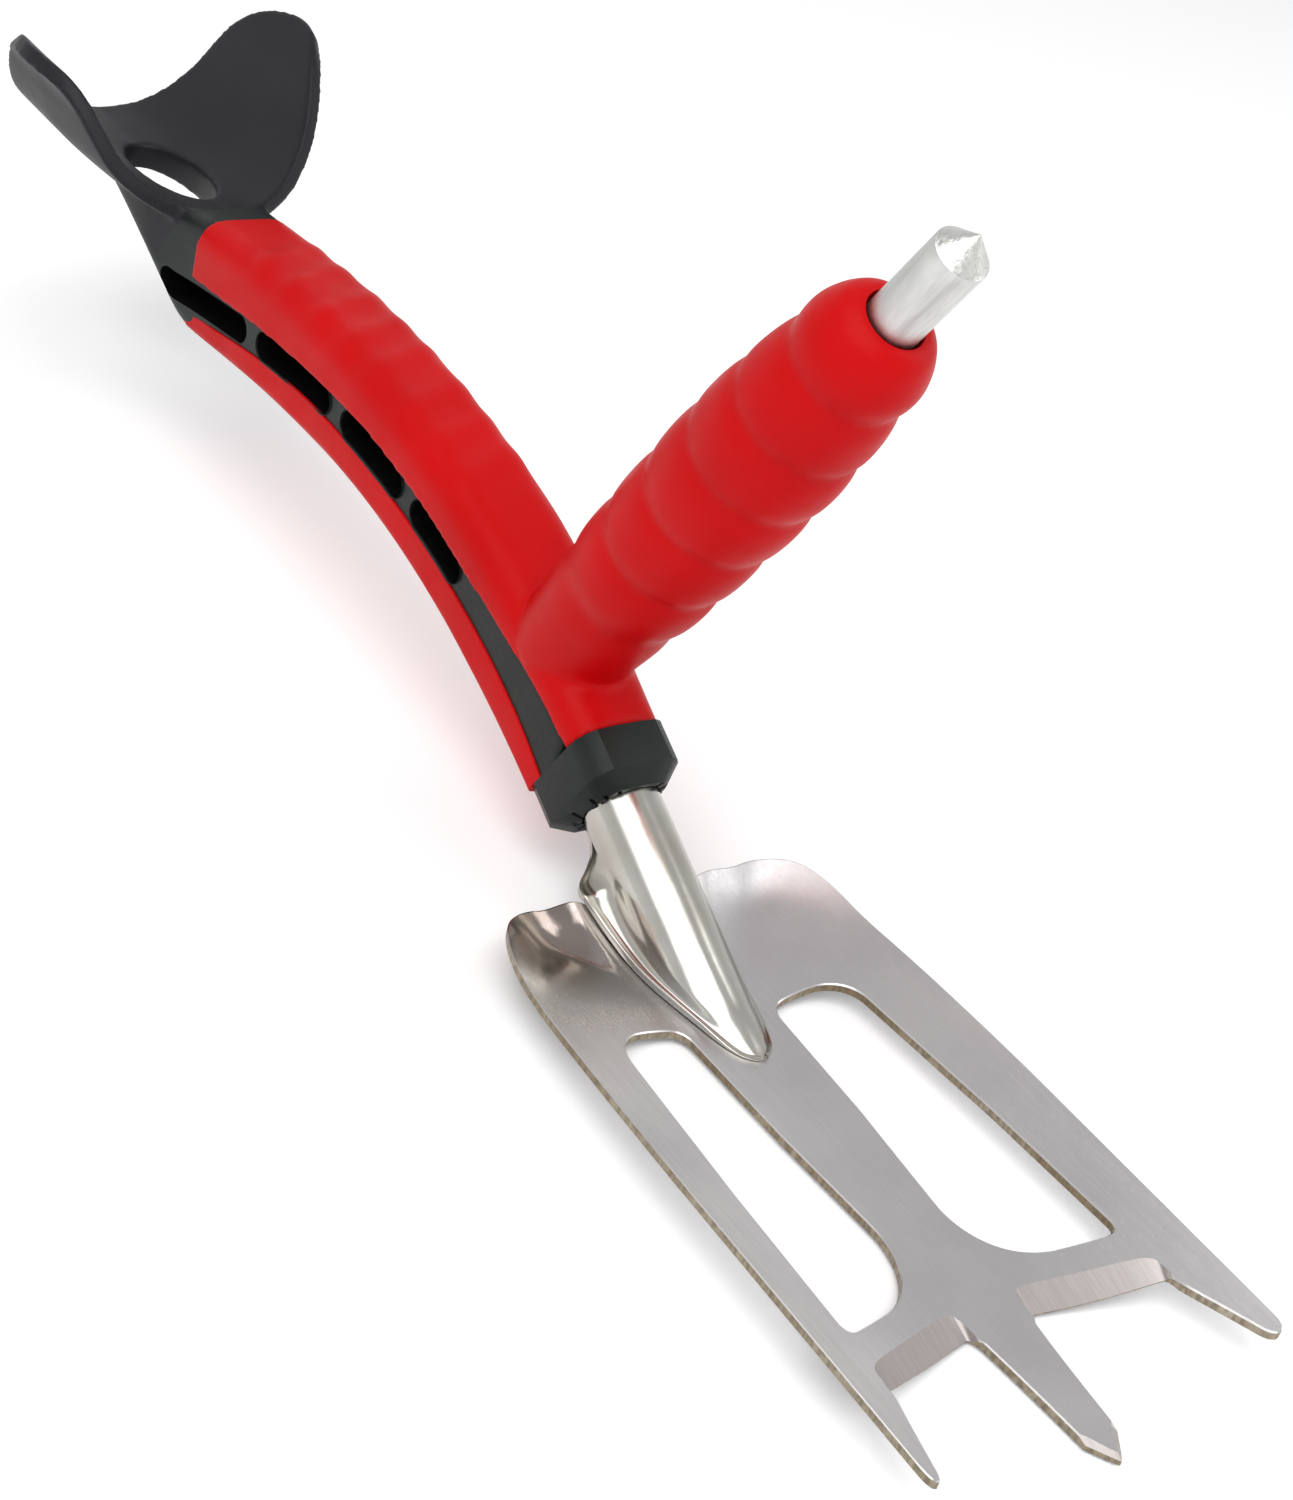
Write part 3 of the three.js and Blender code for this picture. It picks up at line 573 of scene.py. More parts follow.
def tang_socket():
    """The flared skin of the socket, open underneath, given its wall."""
    stations = np.concatenate([np.linspace(0, 24, 40), np.linspace(25.2, 66, 44), np.linspace(66.6, 76, 24)])
    rows = []
    for x in stations:
        half = foot_section(x)
        rows.append([(x, y, z) for y, z in half] + [(x, -y, z) for y, z in half[:0:-1]])
    rows = np.array(rows)
    n, k = rows.shape[:2]
    faces = []
    open_at = len(foot_section(30.0)) - 1
    for i in range(n - 1):
        for j in range(k):
            if j == open_at:
                continue
            a, b = i * k + j, i * k + (j + 1) % k
            faces.append((a, b, b + k, a + k))
    foot = mesh_object("socket_foot", rows.reshape(-1, 3), faces)
    thick = foot.modifiers.new("wall", "SOLIDIFY")
    thick.thickness = SOCKET_WALL / 1000
    thick.offset = -1
    baked(foot)
    return shade(foot, math.radians(50))


def socket_tube():
    """The straight tube, cut off along the blade's sheet."""
    RADIUS = TUBE_RADIUS - 0.04
    DEEP = 60
    rings = []
    for s in np.concatenate([[-12.0, -11.9], np.linspace(-8, 36, 30)]):
        rings.append([socket_point(s, RADIUS * math.sin(a), RADIUS * math.cos(a)) for a in around(96)])
    tube = loft("socket_tube", rings)
    along, across = np.linspace(BLADE_REAR + 0.5, 90, 24), np.linspace(-20, 20, 21)
    under = np.array([(x, y, float(blade_top(x, y)) - SHEET * 0.5) for x in along for y in across])
    return shade(cut(tube, slab("under_blade", under, under - [0, 0, DEEP], len(along), len(across))))


# ---- dark moulding -------------------------------------------------------------------------------
SECTION = [(0, 0), (10, 1.4), (20, 6.4), (27, 14), (31, 23), (33.9, 30.5), (37.2, 35.5), (42, 39.2)]
front_rim = line([(0, -214.5), (0.2, -217), (0.38, -222), (0.52, -227), (0.66, -232), (0.78, -237.5),
                  (0.88, -243.5), (0.94, -248.5), (0.98, -254), (1, -260)])
rear_rim = line([(0, -301), (0.2, -300.5), (0.38, -298.5), (0.52, -295.5), (0.66, -291.5), (0.78, -286.5),
                 (0.88, -280.5), (0.94, -275), (0.98, -269.5), (1, -264)])
LEAN = 0.11  # the soft cradle leans over a little to one side


def cradle_line():
    """The inner face across the cradle, from 0 in the middle to 1 at a tip, as a point and its tangent."""
    p = np.array(SECTION, float)
    far = np.concatenate([[0], np.cumsum(np.linalg.norm(np.diff(p, axis=0), axis=1))])
    y, z = line(list(zip(far, p[:, 0]))), line(list(zip(far, p[:, 1])))

    def at(t):
        d = t * far[-1]
        step = 0.05
        tangent = np.array([y(d + step) - y(d - step), z(d + step) - z(d - step)])
        if t < 1e-6:
            tangent = np.array([1.0, 0.0])
        tangent /= np.linalg.norm(tangent)
        return np.array([float(y(d)), float(z(d))]), tangent
    return at


cradle_at = cradle_line()


def cradle_point(side, along, out):
    """A point `out` mm outside the cradle's inner face.

    `side` runs from -1 to 1 across the cradle, and `along` from 0 at its rear edge to 1 at the front."""
    t = abs(side)
    p, tangent = cradle_at(t)
    x = rear_rim(t) * (1 - along) + front_rim(t) * along
    lift = EDGE_LIFT * max(0.0, (x - LIFT_START) / LIFT_LENGTH) ** 1.5 * (1 - t * 0.6)
    y = (p[0] + tangent[1] * out) * (-1 if side < 0 else 1)
    lean = LEAN * y * float(smoothstep(0.15, 0.8, t))
    return (x, y, FLOOR + p[1] - tangent[0] * out + lift + lean)


def cradle_shell():
    along = np.linspace(0, 1, 41)
    middle, tip = np.linspace(-0.8, 0.8, 61)[1:-1], np.linspace(0.8, 1, 25)
    sides = np.concatenate([-tip[::-1], middle, tip])
    inner, outer = ([cradle_point(s, a, out) for a in along for s in sides] for out in (0.0, WALL))
    return slab("shell", outer, inner, len(along), len(sides))


def forearm_space():
    """A cutter that clears the hollow of the cradle."""
    TALL = 60
    along = np.linspace(-0.02, 1.0, 15)
    sides = np.linspace(-0.8, 0.8, 31)
    low = [cradle_point(s, a, 0.0) for a in along for s in sides]
    high = [(x, y, FLOOR + TALL) for x, y, _ in low]
    return slab("forearm_space", low, high, len(along), len(sides))


def oval_ring(grow, z):
    """A level ring round the cradle's hole, `grow` mm outside its edge."""
    return [(HOLE_CENTRE + (HOLE_HALF_LENGTH + grow) * math.cos(a), (HOLE_HALF_WIDTH + grow) * math.sin(a), z)
            for a in around(64)]


def oval_cutter():
    return loft("oval", [oval_ring(0.0, z) for z in (30.0, 95.0)])


def slot_middle(x):
    return float(strip_top(x) + strip_low(x)) / 2 - SLOT_DROP


def slot_path(start, end, half_height, count=12):
    """The outline of a slot that follows the strip, as (x, z)."""
    r = half_height
    upper = np.linspace(start + r, end - r, count)
    turn = np.linspace(0, math.pi, 13)[1:-1]
    path = [(x, slot_middle(x) + r) for x in upper]
    path += [(end - r + r * math.sin(a), slot_middle(end - r) + r * math.cos(a)) for a in turn]
    path += [(x, slot_middle(x) - r) for x in upper[::-1]]
    path += [(start + r - r * math.sin(a), slot_middle(start + r) - r * math.cos(a)) for a in turn]
    return path


def slot_cutter(start, end, side):
    path = slot_path(start, end, SLOT_HEIGHT / 2)
    return loft("slot", [[(x, side * y, z) for x, z in path] for y in (WEB_HALF, WEB_HALF + 16)])


def slot_rim(start, end, side):
    """A thin proud bead round a slot's mouth."""
    SIDES = 8
    rings = []
    for a in around(SIDES):
        path = slot_path(start, end, SLOT_HEIGHT / 2 + 0.35 + BEAD * math.cos(a))
        y = side * (STRIP_HALF_WIDTH + 0.1 + BEAD * math.sin(a))
        rings.append([(x, y, z) for x, z in path])
    k = len(rings[0])
    faces = [(i * k + j, i * k + (j + 1) % k, (i + 1) % SIDES * k + (j + 1) % k, (i + 1) % SIDES * k + j)
             for i in range(SIDES) for j in range(k)]
    return mesh_object("slot_rim", np.concatenate([np.array(r) for r in rings]), faces)


def in_slot(point):
    """Whether a point of the moulding's skin lies inside a slot."""
    x, y, z = point
    half = STRIP_HALF_WIDTH if x > THROAT_FRONT else float(neck_half_width(x))
    deep = abs(y) < half - 2 * SLOT_MARGIN
    level = abs(z - slot_middle(x)) < SLOT_HEIGHT / 2 + SLOT_MARGIN
    return deep and level and any(a - SLOT_MARGIN < x < b + SLOT_MARGIN for a, b in SLOTS)


def throat_ring(x):
    r = float(neck_round(x))
    return beam_ring(x, rounded_half(float(neck_half_width(x)), float(neck_low(x)), float(neck_top(x)), r, r))


def strip_ring(x):
    OVERLAP, CORNER = 1.5, 0.6
    low, high = float(strip_low(x)) - OVERLAP, float(strip_top(x)) + OVERLAP
    return beam_ring(x, rounded_half(STRIP_HALF_WIDTH, low, high, CORNER, CORNER))


def dark_moulding():
    """The beam and the cradle as one skin, then parted on the slanted plane through the throat."""
    shell = cradle_shell()
    throat = loft("throat", [throat_ring(x) for x in np.linspace(-288, -190, 60)])
    cut(throat, forearm_space())
    for part in (shell, throat):
        cut(part, oval_cutter())
    skirt = loft("skirt", [oval_ring(1.3, SKIRT_LOW), oval_ring(5.0, FLOOR - 1.5)])
    cut(skirt, oval_cutter())
    beam = loft("beam", [strip_ring(x) for x in np.linspace(-215, -4, 120)])
    whole = fuse(join("moulding", [shell, throat, skirt, beam]), 9)
    for start, end in SLOTS:
        for side in (1, -1):
            cut(whole, slot_cutter(start, end, side))
    rise = SPLIT_TOP - SPLIT_LOW
    forward = np.array([rise[2], 0, -rise[0]])
    rear = add("cradle_moulded", whole.data.copy())
    cut(whole, half_space("ahead", SPLIT_TOP, forward), "INTERSECT")
    cut(rear, half_space("ahead", SPLIT_TOP, forward))
    rims = [slot_rim(start, end, side) for start, end in SLOTS[1:] for side in (1, -1)]
    front = join("beam_moulded", [whole] + rims)
    return shade(front), shade(rear, math.radians(60))


def collar():
    rings = []
    for s, inset in ((COLLAR_REAR, 0), (COLLAR_FRONT - COLLAR_CHAMFER, 0), (COLLAR_FRONT, COLLAR_CHAMFER)):
        width = COLLAR_HALF_WIDTH - inset * 0.8
        height = COLLAR_HALF_HEIGHT - inset
        half = [(width * 0.3, height + 0.3), (width * 0.65, height - 0.2), (width - 2.2, height - 1.7),
                (width - 0.6, height - 4), (width, height - 7), (width, -height + 4), (width - 2, -height)]
        rings.append([socket_point(s, y, n) for y, n in full_ring(half)])
    block = loft("collar_block", rings)
    radius = TUBE_RADIUS + BORE_GAP
    cut(block, loft("bore", [[socket_point(s, radius * math.sin(a), radius * math.cos(a)) for a in around(64)]
                             for s in (-9, 5)]))
    for a in NOTCH_ANGLES:
        for side in (1, -1):
            cut(block, notch_cutter(side * a))
    return shade(bevel(block, 0.7, 3, 24), math.radians(45))


def notch_cutter(angle):
    """A cutter for one small notch beside the tube, at an angle from the top."""
    rings = []
    for s in (COLLAR_FRONT - 2.2, COLLAR_FRONT + 2):
        ring = []
        for aside, out in ((-0.55, -1.4), (0.55, -1.4), (0.55, 1.1), (-0.55, 1.1)):
            far = NOTCH_RADIUS + out
            ring.append(socket_point(s, far * math.sin(angle) + aside * math.cos(angle),
                                     far * math.cos(angle) - aside * math.sin(angle)))
        rings.append(ring)
    return loft("notch", rings)


# ---- red grips -----------------------------------------------------------------------------------
def soften_crotch(grip):
    """Rounds the inner corner where the upright grip grows out of the pad."""
    group = grip.vertex_groups.new(name="crotch")
    for vertex in grip.data.vertices:
        p = np.array(vertex.co) * 1000 - OFFSET
        up = float(np.dot(p - GRIP_BASE, GRIP_AXIS))
        from_axis = float(np.linalg.norm(p - GRIP_BASE - GRIP_AXIS * up))
        weight = float(smoothstep(9, 0, up) * smoothstep(-26, -16, up) * (1 - smoothstep(22, 28, from_axis)))
        if weight > 0.01:
            group.add([vertex.index], weight, "REPLACE")
    smooth = grip.modifiers.new("crotch", "SMOOTH")
    smooth.vertex_group = "crotch"
    smooth.factor = 0.7
    smooth.iterations = 60
    baked(grip)


def ripple(x, y, z, top):
    """Soft shallow waves that run slantwise across the top of the pad."""
    wave = 0.0
    for middle in RIPPLES:
        away = (x - middle + y * RIPPLE_SLANT) / RIPPLE_HALF_LENGTH
        wave += math.exp(-away * away)
    return RIPPLE_HEIGHT * wave * float(smoothstep(top - 12, top - 1, z))


def grip_radius(a, angle):
    """The upright grip's radius at a distance up its axis; angle 0 faces forward."""
    if a >= DOME_START:
        return float(grip_envelope(a)) + 0.3
    away = min(abs(a - groove) for groove in GROOVES) / GROOVE_HALF_LENGTH
    front = 0.5 + 0.5 * math.cos(angle)
    groove = (GROOVE_DEPTH + GROOVE_DEPTH_IN_FRONT * front) * math.exp(-away ** 1.25)
    return float(grip_envelope(a)) + 0.35 - groove


def upper_grip():
    rings = []
    for x in np.linspace(BEAM_REAR, 6, 190):
        width = PAD_HALF_WIDTH - (PAD_HALF_WIDTH - 12.7) * float(smoothstep(-60, 4, x))
        top = float(crown(x))
        ring = beam_ring(x, rounded_half(width, float(strip_top(x)) - 0.1, top, PAD_CORNER), 96)
        rings.append([(px, py, pz + ripple(px, py, pz, top)) for px, py, pz in ring])
    pad = loft("pad", rings)
    trim_at_collar(pad)
    rings = []
    for a in np.concatenate([np.linspace(-30, DOME_START, 200), np.linspace(DOME_START + 0.5, GRIP_END, 14)]):
        rings.append([grip_point(a, grip_radius(a, t), t) for t in around(96)])
    grip = fuse(join("grip_overmould", [pad, loft("upright", rings)]), 3)
    soften_crotch(grip)
    cut(grip, loft("rod_hole", [[grip_point(a, ROD_HOLE, t) for t in around(64)]
                                for a in (GRIP_END - 9, GRIP_END + 4)]))
    return shade(grip, math.radians(50))


def lower_grip():
    rings = []
    for x in np.linspace(BEAM_REAR - 3, -4, 150):
        top = float(strip_low(x)) + 0.1
        half = rounded_half(LOWER_GRIP_HALF_WIDTH, float(underside(x)), top, 0.4, 3.5)
        dip = [(STRIP_HALF_WIDTH - 0.4, top - 1.6), (STRIP_HALF_WIDTH - 0.2, top)]
        rings.append(beam_ring(x, dip + half, None))
    strip = loft("lower_strip", rings)
    return shade(trim_at_collar(strip), math.radians(45))


def grip_rod():
    """The rod in the pistol grip's top: distances up the grip's axis and radii, turned round that axis."""
    profile = ([(90.0, ROD_RADIUS)] + [(a, ROD_RADIUS) for a in np.linspace(104, ROD_SHOULDER - 0.35, 12)]
               + [(ROD_SHOULDER - 0.1, ROD_RADIUS - 0.08), (ROD_SHOULDER + 0.1, ROD_RADIUS - 0.35)])
    for t in np.linspace(0.08, 1, 12):
        profile.append((ROD_SHOULDER + 0.1 + (ROD_APEX - ROD_SHOULDER - 0.4) * t,
                        (ROD_RADIUS - 0.35) * (1 - t) + ROD_END_RADIUS * t))
    profile.append((ROD_APEX, 0.2))
    rings = [[grip_point(a, r, t) for t in around(96)] for a, r in profile]
    return shade(loft("turned_rod", rings), math.radians(25))


# ---- materials -----------------------------------------------------------------------------------
class Look:
    """A node material with a few short-hands. A pattern linked to a socket replaces its plain value."""

    def __init__(self, name, base, roughness, metallic=0.0, **values):
        self.material = bpy.data.materials.new(name)
        self.material.use_nodes = True
        self.nodes = self.material.node_tree.nodes
        self.links = self.material.node_tree.links
        self.shader = self.nodes["Principled BSDF"]
        self.set("Base Color", (*base, 1))
        self.set("Roughness", roughness)
        self.set("Metallic", metallic)
        for key, value in values.items():
            self.set(key.replace("_", " "), value)
        self.coords = self.nodes.new("ShaderNodeTexCoord").outputs["Object"]

    def set(self, socket, value):
        self.shader.inputs[socket].default_value = value

    def noise(self, scale, detail=3.0, stretch=(1, 1, 1), rotation=(0, 0, 0), rough=0.5):
        mapping = self.nodes.new("ShaderNodeMapping")
        mapping.inputs["Scale"].default_value = stretch
        mapping.inputs["Rotation"].default_value = rotation
        self.links.new(self.coords, mapping.inputs["Vector"])
        noise = self.nodes.new("ShaderNodeTexNoise")
        noise.inputs["Scale"].default_value = scale
        noise.inputs["Detail"].default_value = detail
        noise.inputs["Roughness"].default_value = rough
        self.links.new(mapping.outputs["Vector"], noise.inputs["Vector"])
        return noise.outputs["Fac"]

    def span(self, value, low, high, to_low, to_high):
        m = self.nodes.new("ShaderNodeMapRange")
        m.inputs["From Min"].default_value = low
        m.inputs["From Max"].default_value = high
        m.inputs["To Min"].default_value = to_low
        m.inputs["To Max"].default_value = to_high
        self.links.new(value, m.inputs["Value"])
        return m.outputs["Result"]

    def axis(self, name):
        split = self.nodes.new("ShaderNodeSeparateXYZ")
        self.links.new(self.coords, split.inputs["Vector"])
        return split.outputs[name]

    def near(self, point, inner, outer):
        """1 within `inner` metres of a point, falling to 0 at `outer`."""
        away = self.nodes.new("ShaderNodeVectorMath")
        away.operation = "DISTANCE"
        away.inputs[1].default_value = tuple(point)
        self.links.new(self.coords, away.inputs[0])
        return self.span(away.outputs["Value"], inner, outer, 1.0, 0.0)

    def math(self, operation, a, b):
        m = self.nodes.new("ShaderNodeMath")
        m.operation = operation
        for socket, value in zip(m.inputs, (a, b)):
            if isinstance(value, (int, float)):
                socket.default_value = value
            else:
                self.links.new(value, socket)
        return m.outputs["Value"]

    def mix(self, factor, a, b):
        m = self.nodes.new("ShaderNodeMix")
        m.data_type = "RGBA"
        self.links.new(factor, m.inputs["Factor"])
        for socket, value in ((m.inputs["A"], a), (m.inputs["B"], b)):
            if isinstance(value, tuple):
                socket.default_value = (*value, 1)
            else:
                self.links.new(value, socket)
        return m.outputs["Result"]

    def colour(self, output):
        self.links.new(output, self.shader.inputs["Base Color"])

    def roughness(self, output):
        self.links.new(output, self.shader.inputs["Roughness"])

    def bump(self, height, strength, distance):
        b = self.nodes.new("ShaderNodeBump")
        b.inputs["Strength"].default_value = strength
        b.inputs["Distance"].default_value = distance
        self.links.new(height, b.inputs["Height"])
        below = self.shader.inputs["Normal"].links
        if below:
            self.links.new(below[0].from_socket, b.inputs["Normal"])
        self.links.new(b.outputs["Normal"], self.shader.inputs["Normal"])


def blade_steel():
    look = Look("blade_steel", (0.5, 0.485, 0.485), 0.3, 1.0)
    grain = look.noise(55, 5, (1.0, 24, 24), (0, 0, 0.1), 0.6)
    fine = look.noise(260, 3, (0.5, 14, 14), (0, 0, -0.06))
    cloud = look.noise(24, 3)
    fleck = look.noise(900, 2)
    x, y = look.axis("X"), look.axis("Y")
    tone = look.mix(look.span(cloud, 0.35, 0.65, 0, 1), (0.54, 0.525, 0.53), (0.63, 0.615, 0.61))
    brushed = look.mix(look.span(grain, 0.35, 0.7, 0, 0.3), tone, (0.44, 0.425, 0.425))
    bright = look.mix(look.span(fine, 0.5, 0.8, 0, 0.25), brushed, (0.70, 0.69, 0.69))
    # Painted shade: a brownish darkening on the shoulder's curl at Y = -30, beside the socket, broken up by
    # the cloud noise.
    painted_shade_patch = look.near(place([29, -30, 5]), 0.010, 0.022)
    painted_shade_amount = look.math("MULTIPLY", painted_shade_patch, look.span(cloud, 0.3, 0.7, 0.6, 1.0))
    look.colour(look.mix(painted_shade_amount, bright, (0.22, 0.165, 0.135)))
    behind = look.span(x, (62 + OFFSET[0]) / 1000, (38 + OFFSET[0]) / 1000, 0.0, 1.0)
    right = look.span(y, 0.004, -0.012, 0.0, 1.0)
    left = look.span(y, 0.0, 0.012, 0.0, 0.12)
    polish = look.math("MULTIPLY", behind, right)
    satin = look.math("ADD", look.span(grain, 0.3, 0.7, 0.27, 0.38), look.span(fleck, 0.6, 0.75, 0, 0.08))
    dull = look.math("ADD", satin, look.math("MULTIPLY", behind, left))
    look.roughness(look.math("SUBTRACT", dull, look.math("MULTIPLY", polish, 0.2)))
    look.bump(grain, 0.05, 0.0003)
    look.bump(fine, 0.04, 0.0002)
    return look.material


def edge_steel():
    look = Look("cut_edge_steel", (0.42, 0.36, 0.28), 0.5, 1.0)
    tear = look.noise(900, 4, (1, 1, 0.3))
    stain = look.noise(38, 4)
    tone = look.mix(look.span(stain, 0.35, 0.65, 0, 1), (0.24, 0.19, 0.12), (0.42, 0.37, 0.29))
    look.colour(look.mix(look.span(tear, 0.4, 0.62, 0, 0.7), tone, (0.15, 0.12, 0.08)))
    look.bump(tear, 0.4, 0.0004)
    return look.material


def ground_steel():
    look = Look("ground_steel", (0.50, 0.46, 0.45), 0.5, 1.0)
    grind = look.noise(220, 4, (0.3, 8, 1), (0, 0, 0.2))
    look.colour(look.mix(look.span(grind, 0.35, 0.65, 0, 1), (0.375, 0.34, 0.33), (0.41, 0.38, 0.37)))
    look.bump(grind, 0.12, 0.0003)
    return look.material


def polished_steel():
    look = Look("polished_steel", (0.66, 0.645, 0.60), 0.13, 1.0)
    haze = look.noise(45, 4)
    swell = look.noise(60, 2, (0.25, 1, 1), (0, SOCKET_ANGLE, 0))
    marks = look.noise(90, 3, (0.5, 9, 9), (0, SOCKET_ANGLE, 0))
    look.roughness(look.span(haze, 0.3, 0.7, 0.17, 0.27))
    look.colour(look.mix(look.span(haze, 0.35, 0.65, 0, 1), (0.52, 0.51, 0.475), (0.40, 0.385, 0.34)))
    look.bump(marks, 0.03, 0.0004)
    look.bump(swell, 0.25, 0.002)
    return look.material


def turned_aluminium():
    look = Look("turned_aluminium", (0.74, 0.74, 0.735), 0.3, 1.0)
    fine = look.noise(1500, 3)
    drawn = look.noise(200, 3, (1, 6, 0.3), (0, -math.atan2(GRIP_AXIS[0], GRIP_AXIS[2]), 0))
    look.roughness(look.span(fine, 0.3, 0.7, 0.32, 0.42))
    look.colour(look.mix(look.span(drawn, 0.35, 0.65, 0, 1), (0.53, 0.53, 0.52), (0.62, 0.62, 0.61)))
    look.bump(drawn, 0.04, 0.0003)
    return look.material


def rough_cone():
    look = Look("rough_turned_end", (0.66, 0.655, 0.63), 0.36, 1.0)
    torn = look.noise(1100, 4)
    coarse = look.noise(420, 3)
    look.roughness(look.span(torn, 0.3, 0.7, 0.18, 0.5))
    look.bump(coarse, 0.5, 0.0005)
    look.bump(torn, 0.5, 0.0003)
    return look.material


def red_soft():
    look = Look("red_soft_grip", (0.41, 0.0014, 0.0025), 0.46, 0.0, Specular_IOR_Level=0.09)
    cloud = look.noise(24, 3)
    pore = look.noise(2600, 2)
    smear = look.noise(90, 3)
    look.colour(look.mix(look.span(cloud, 0.3, 0.7, 0, 1), (0.42, 0.0012, 0.002), (0.49, 0.0016, 0.003)))
    look.roughness(look.span(smear, 0.3, 0.7, 0.36, 0.52))
    look.bump(pore, 0.08, 0.0002)
    look.bump(smear, 0.05, 0.0008)
    return look.material


def dark_nylon():
    look = Look("dark_nylon", (0.009, 0.012, 0.011), 0.4, 0.0, Specular_IOR_Level=0.22)
    grain = look.noise(1800, 3)
    cloud = look.noise(60, 3)
    look.colour(look.mix(look.span(cloud, 0.3, 0.7, 0, 1), (0.006, 0.009, 0.008), (0.012, 0.016, 0.0145)))
    look.roughness(look.span(grain, 0.3, 0.7, 0.36, 0.52))
    look.bump(grain, 0.15, 0.0002)
    return look.material


def cradle_black():
    look = Look("cradle_black", (0.012, 0.012, 0.014), 0.5, 0.0, Specular_IOR_Level=0.22)
    grain = look.noise(2200, 3)
    cloud = look.noise(40, 3)
    look.colour(look.mix(look.span(cloud, 0.3, 0.7, 0, 1), (0.007, 0.007, 0.009), (0.011, 0.011, 0.014)))
    look.roughness(look.span(cloud, 0.3, 0.7, 0.42, 0.54))
    look.bump(grain, 0.12, 0.0002)
    return look.material


# Painted shade: the slots' walls and floors are coloured near-black, darker than the nylon round them.
def slot_painted_shade():
    look = Look("slot_painted_shade", (0.002, 0.002, 0.002), 0.9, 0.0, Specular_IOR_Level=0.05)
    dust = look.noise(400, 2)
    look.colour(look.mix(look.span(dust, 0.4, 0.7, 0, 1), (0.0015, 0.0015, 0.0015), (0.004, 0.004, 0.004)))
    return look.material


# ---- assembly ------------------------------------------------------------------------------------
def finish_piece(piece, materials, slot, *nodes):
    kept = [min(face.material_index, len(materials) - 1) for face in piece.data.polygons]
    piece.data.materials.clear()
    for material in materials:
        piece.data.materials.append(material)
    piece.data.polygons.foreach_set("material_index", kept)
    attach(piece, "root")
    if nodes:
        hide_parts(*nodes)


nylon = dark_nylon()
steel = polished_steel()
finish_piece(fork_blade(), [blade_steel(), edge_steel(), ground_steel()], "blade_steel", "fork_blade")
finish_piece(tang_socket(), [steel], "socket_steel", "tang_socket", "weld_seam_left", "weld_seam_right")
finish_piece(socket_tube(), [steel], "socket_steel")
beam_piece, cradle_piece = dark_moulding()
# The near-black painted shade for the faces inside the slots.
black = slot_painted_shade()
finish_piece(beam_piece, [nylon, black], "dark_nylon", "handle_core")
finish_piece(cradle_piece, [cradle_black(), black], "cradle_soft_black", "arm_cradle")
# Faces inside the slots take the painted shade.
for moulded in (beam_piece, cradle_piece):
    for face in moulded.data.polygons:
        face.material_index = int(in_slot(np.array(face.center) * 1000 - OFFSET))
finish_piece(collar(), [nylon], "dark_nylon")
red = red_soft()
finish_piece(upper_grip(), [red], "red_soft_grip", "upper_grip")
finish_piece(lower_grip(), [red], "red_soft_grip", "lower_grip")
rod = grip_rod()
finish_piece(rod, [turned_aluminium(), rough_cone()], "rod_aluminium", "grip_rod")
cone_start = ROD_SHOULDER - 0.05
for face in rod.data.polygons:
    middle = np.array(face.center) * 1000 - OFFSET
    face.material_index = int(np.dot(middle - GRIP_BASE, GRIP_AXIS) > cone_start)
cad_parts["tang_plug"].data.materials.clear()
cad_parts["tang_plug"].data.materials.append(nylon)

# ---- stage, light and camera ---------------------------------------------------------------------
bpy.context.scene.view_settings.view_transform = "Standard"


def stage():
    HALF_SIZE = 12.0
    BELOW = 0.0004  # keeps the floor's face apart from the blade's
    corners = [(x * HALF_SIZE, y * HALF_SIZE, 0) for x, y in ((-1, -1), (1, -1), (1, 1), (-1, 1))]
    mesh = bpy.data.meshes.new("floor")
    mesh.from_pydata(corners, [], [(0, 1, 2, 3)])
    floor = add("floor", mesh)
    floor.location.z = -BELOW
    look = Look("pale_floor", (0.93, 0.93, 0.93), 0.8, Specular_IOR_Level=0.1)
    floor.data.materials.append(look.material)


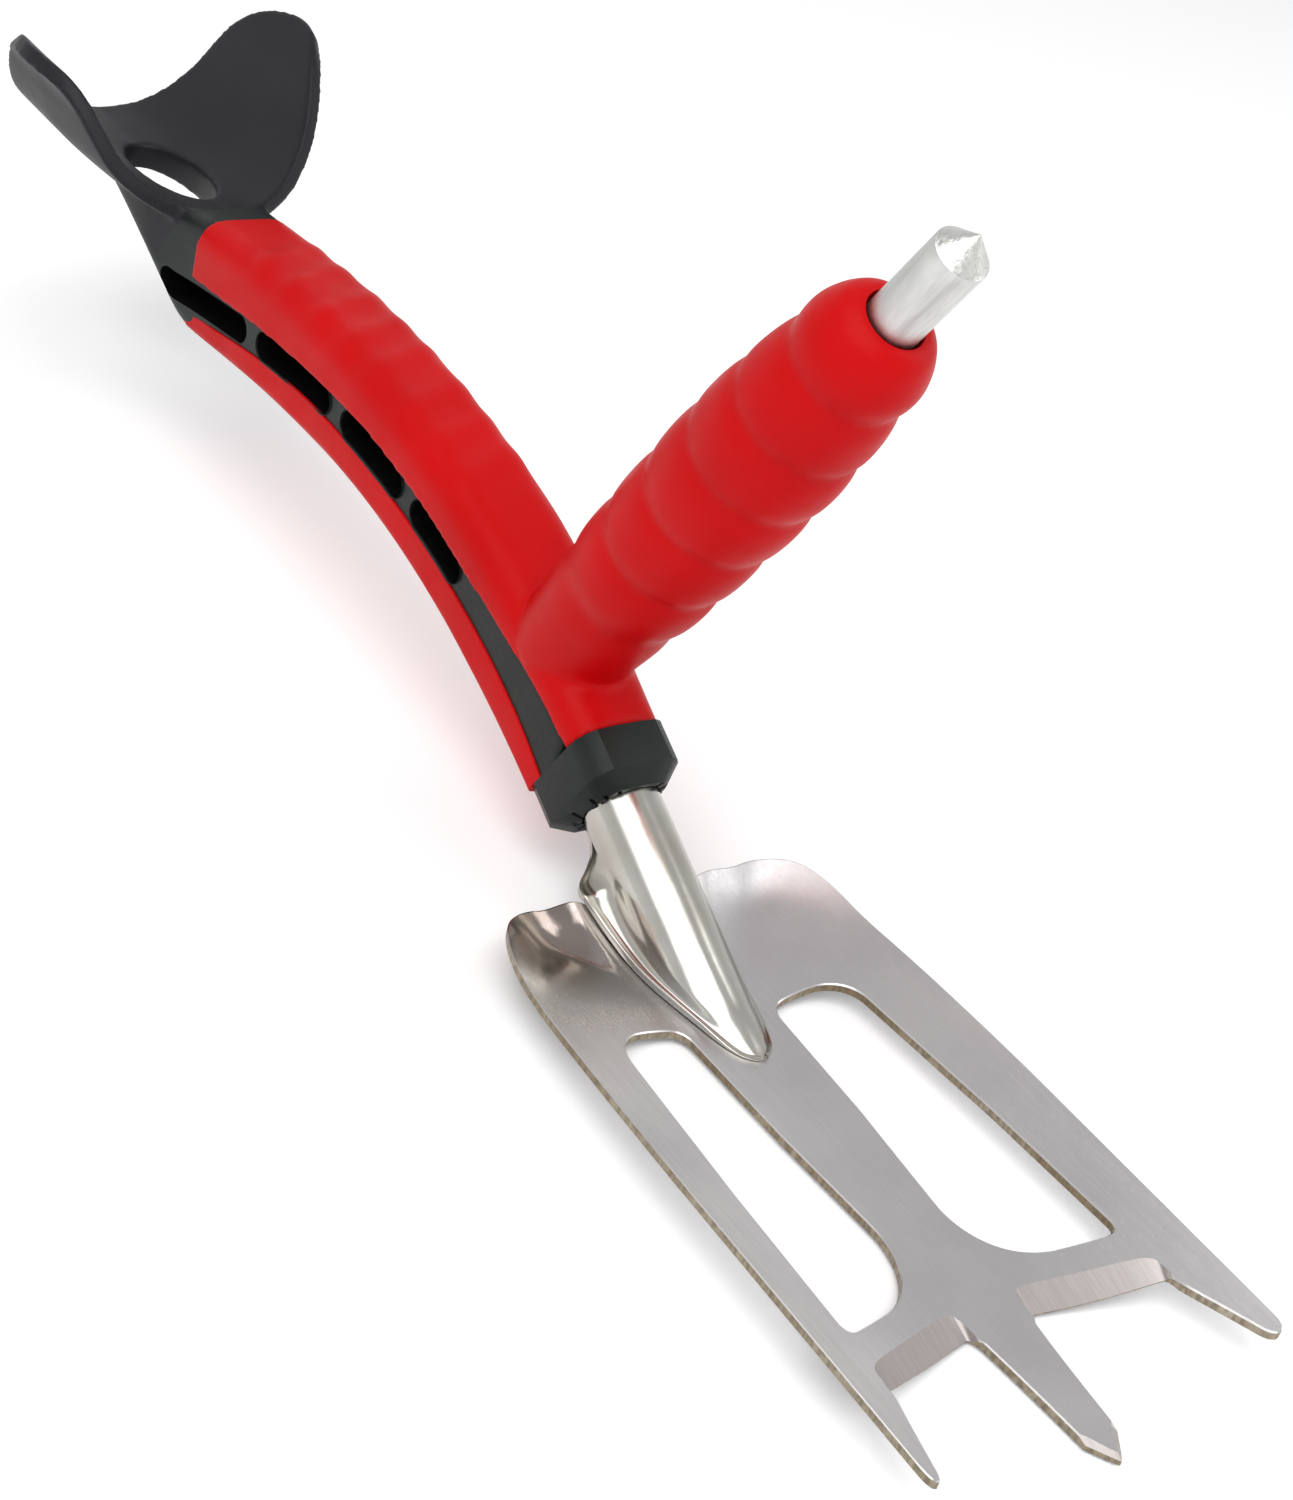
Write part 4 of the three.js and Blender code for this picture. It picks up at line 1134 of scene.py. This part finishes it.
def sky():
    """A light tent: white walls, and a calmer roof for the steel to reflect."""
    world = bpy.data.worlds.new("studio")
    bpy.context.scene.world = world
    world.use_nodes = True
    nodes, links = world.node_tree.nodes, world.node_tree.links
    coords = nodes.new("ShaderNodeTexCoord")
    split = nodes.new("ShaderNodeSeparateXYZ")
    ramp = nodes.new("ShaderNodeValToRGB")
    links.new(coords.outputs["Generated"], split.inputs["Vector"])
    links.new(split.outputs["Z"], ramp.inputs["Fac"])
    ramp.color_ramp.elements[0].position = 0.0
    ramp.color_ramp.elements[0].color = (1.0, 1.0, 0.99, 1)
    ramp.color_ramp.elements[1].position = 1.0
    ramp.color_ramp.elements[1].color = (0.72, 0.72, 0.73, 1)
    for position, tone in ((0.3, 0.9), (0.55, 0.72), (0.8, 0.66)):
        element = ramp.color_ramp.elements.new(position)
        element.color = (tone, tone, tone * 1.01, 1)
    links.new(ramp.outputs["Color"], nodes["Background"].inputs["Color"])
    nodes["Background"].inputs["Strength"].default_value = 0.95


def softbox(name, where, target, size, power):
    light = bpy.data.lights.new(name, "AREA")
    light.shape = "RECTANGLE"
    light.size, light.size_y = size
    light.energy = power
    lamp = add(name, light)
    lamp.location = where
    lamp.rotation_euler = (Vector(target) - Vector(where)).to_track_quat("-Z", "Y").to_euler()


def camera():
    """A long normal lens in front of the tool, to its right and above it."""
    RIGHT, DOWN = (0.55238, 0.79962, 0.23557), (0.56516, -0.1515, -0.81095)
    AHEAD = (-0.61276, 0.58109, -0.5356)
    EYE = (367.03, -337.69, 352.22)
    data = bpy.data.cameras.new("camera")
    data.sensor_fit = "VERTICAL"
    data.sensor_height = 36
    data.lens = 60.0
    data.clip_end = 20
    eye = add("camera", data)
    turn = Matrix((RIGHT, [-v for v in DOWN], [-v for v in AHEAD])).transposed().to_4x4()
    eye.matrix_world = Matrix.Translation(Vector(place(EYE))) @ turn
    bpy.context.scene.camera = eye


stage()
sky()
softbox("key", (0.5, -0.7, 1.5), (0.0, 0, 0.05), (1.7, 1.7), 24)
softbox("side", (0.7, 1.1, 0.9), (0.0, 0, 0.05), (0.5, 1.2), 5)
camera()
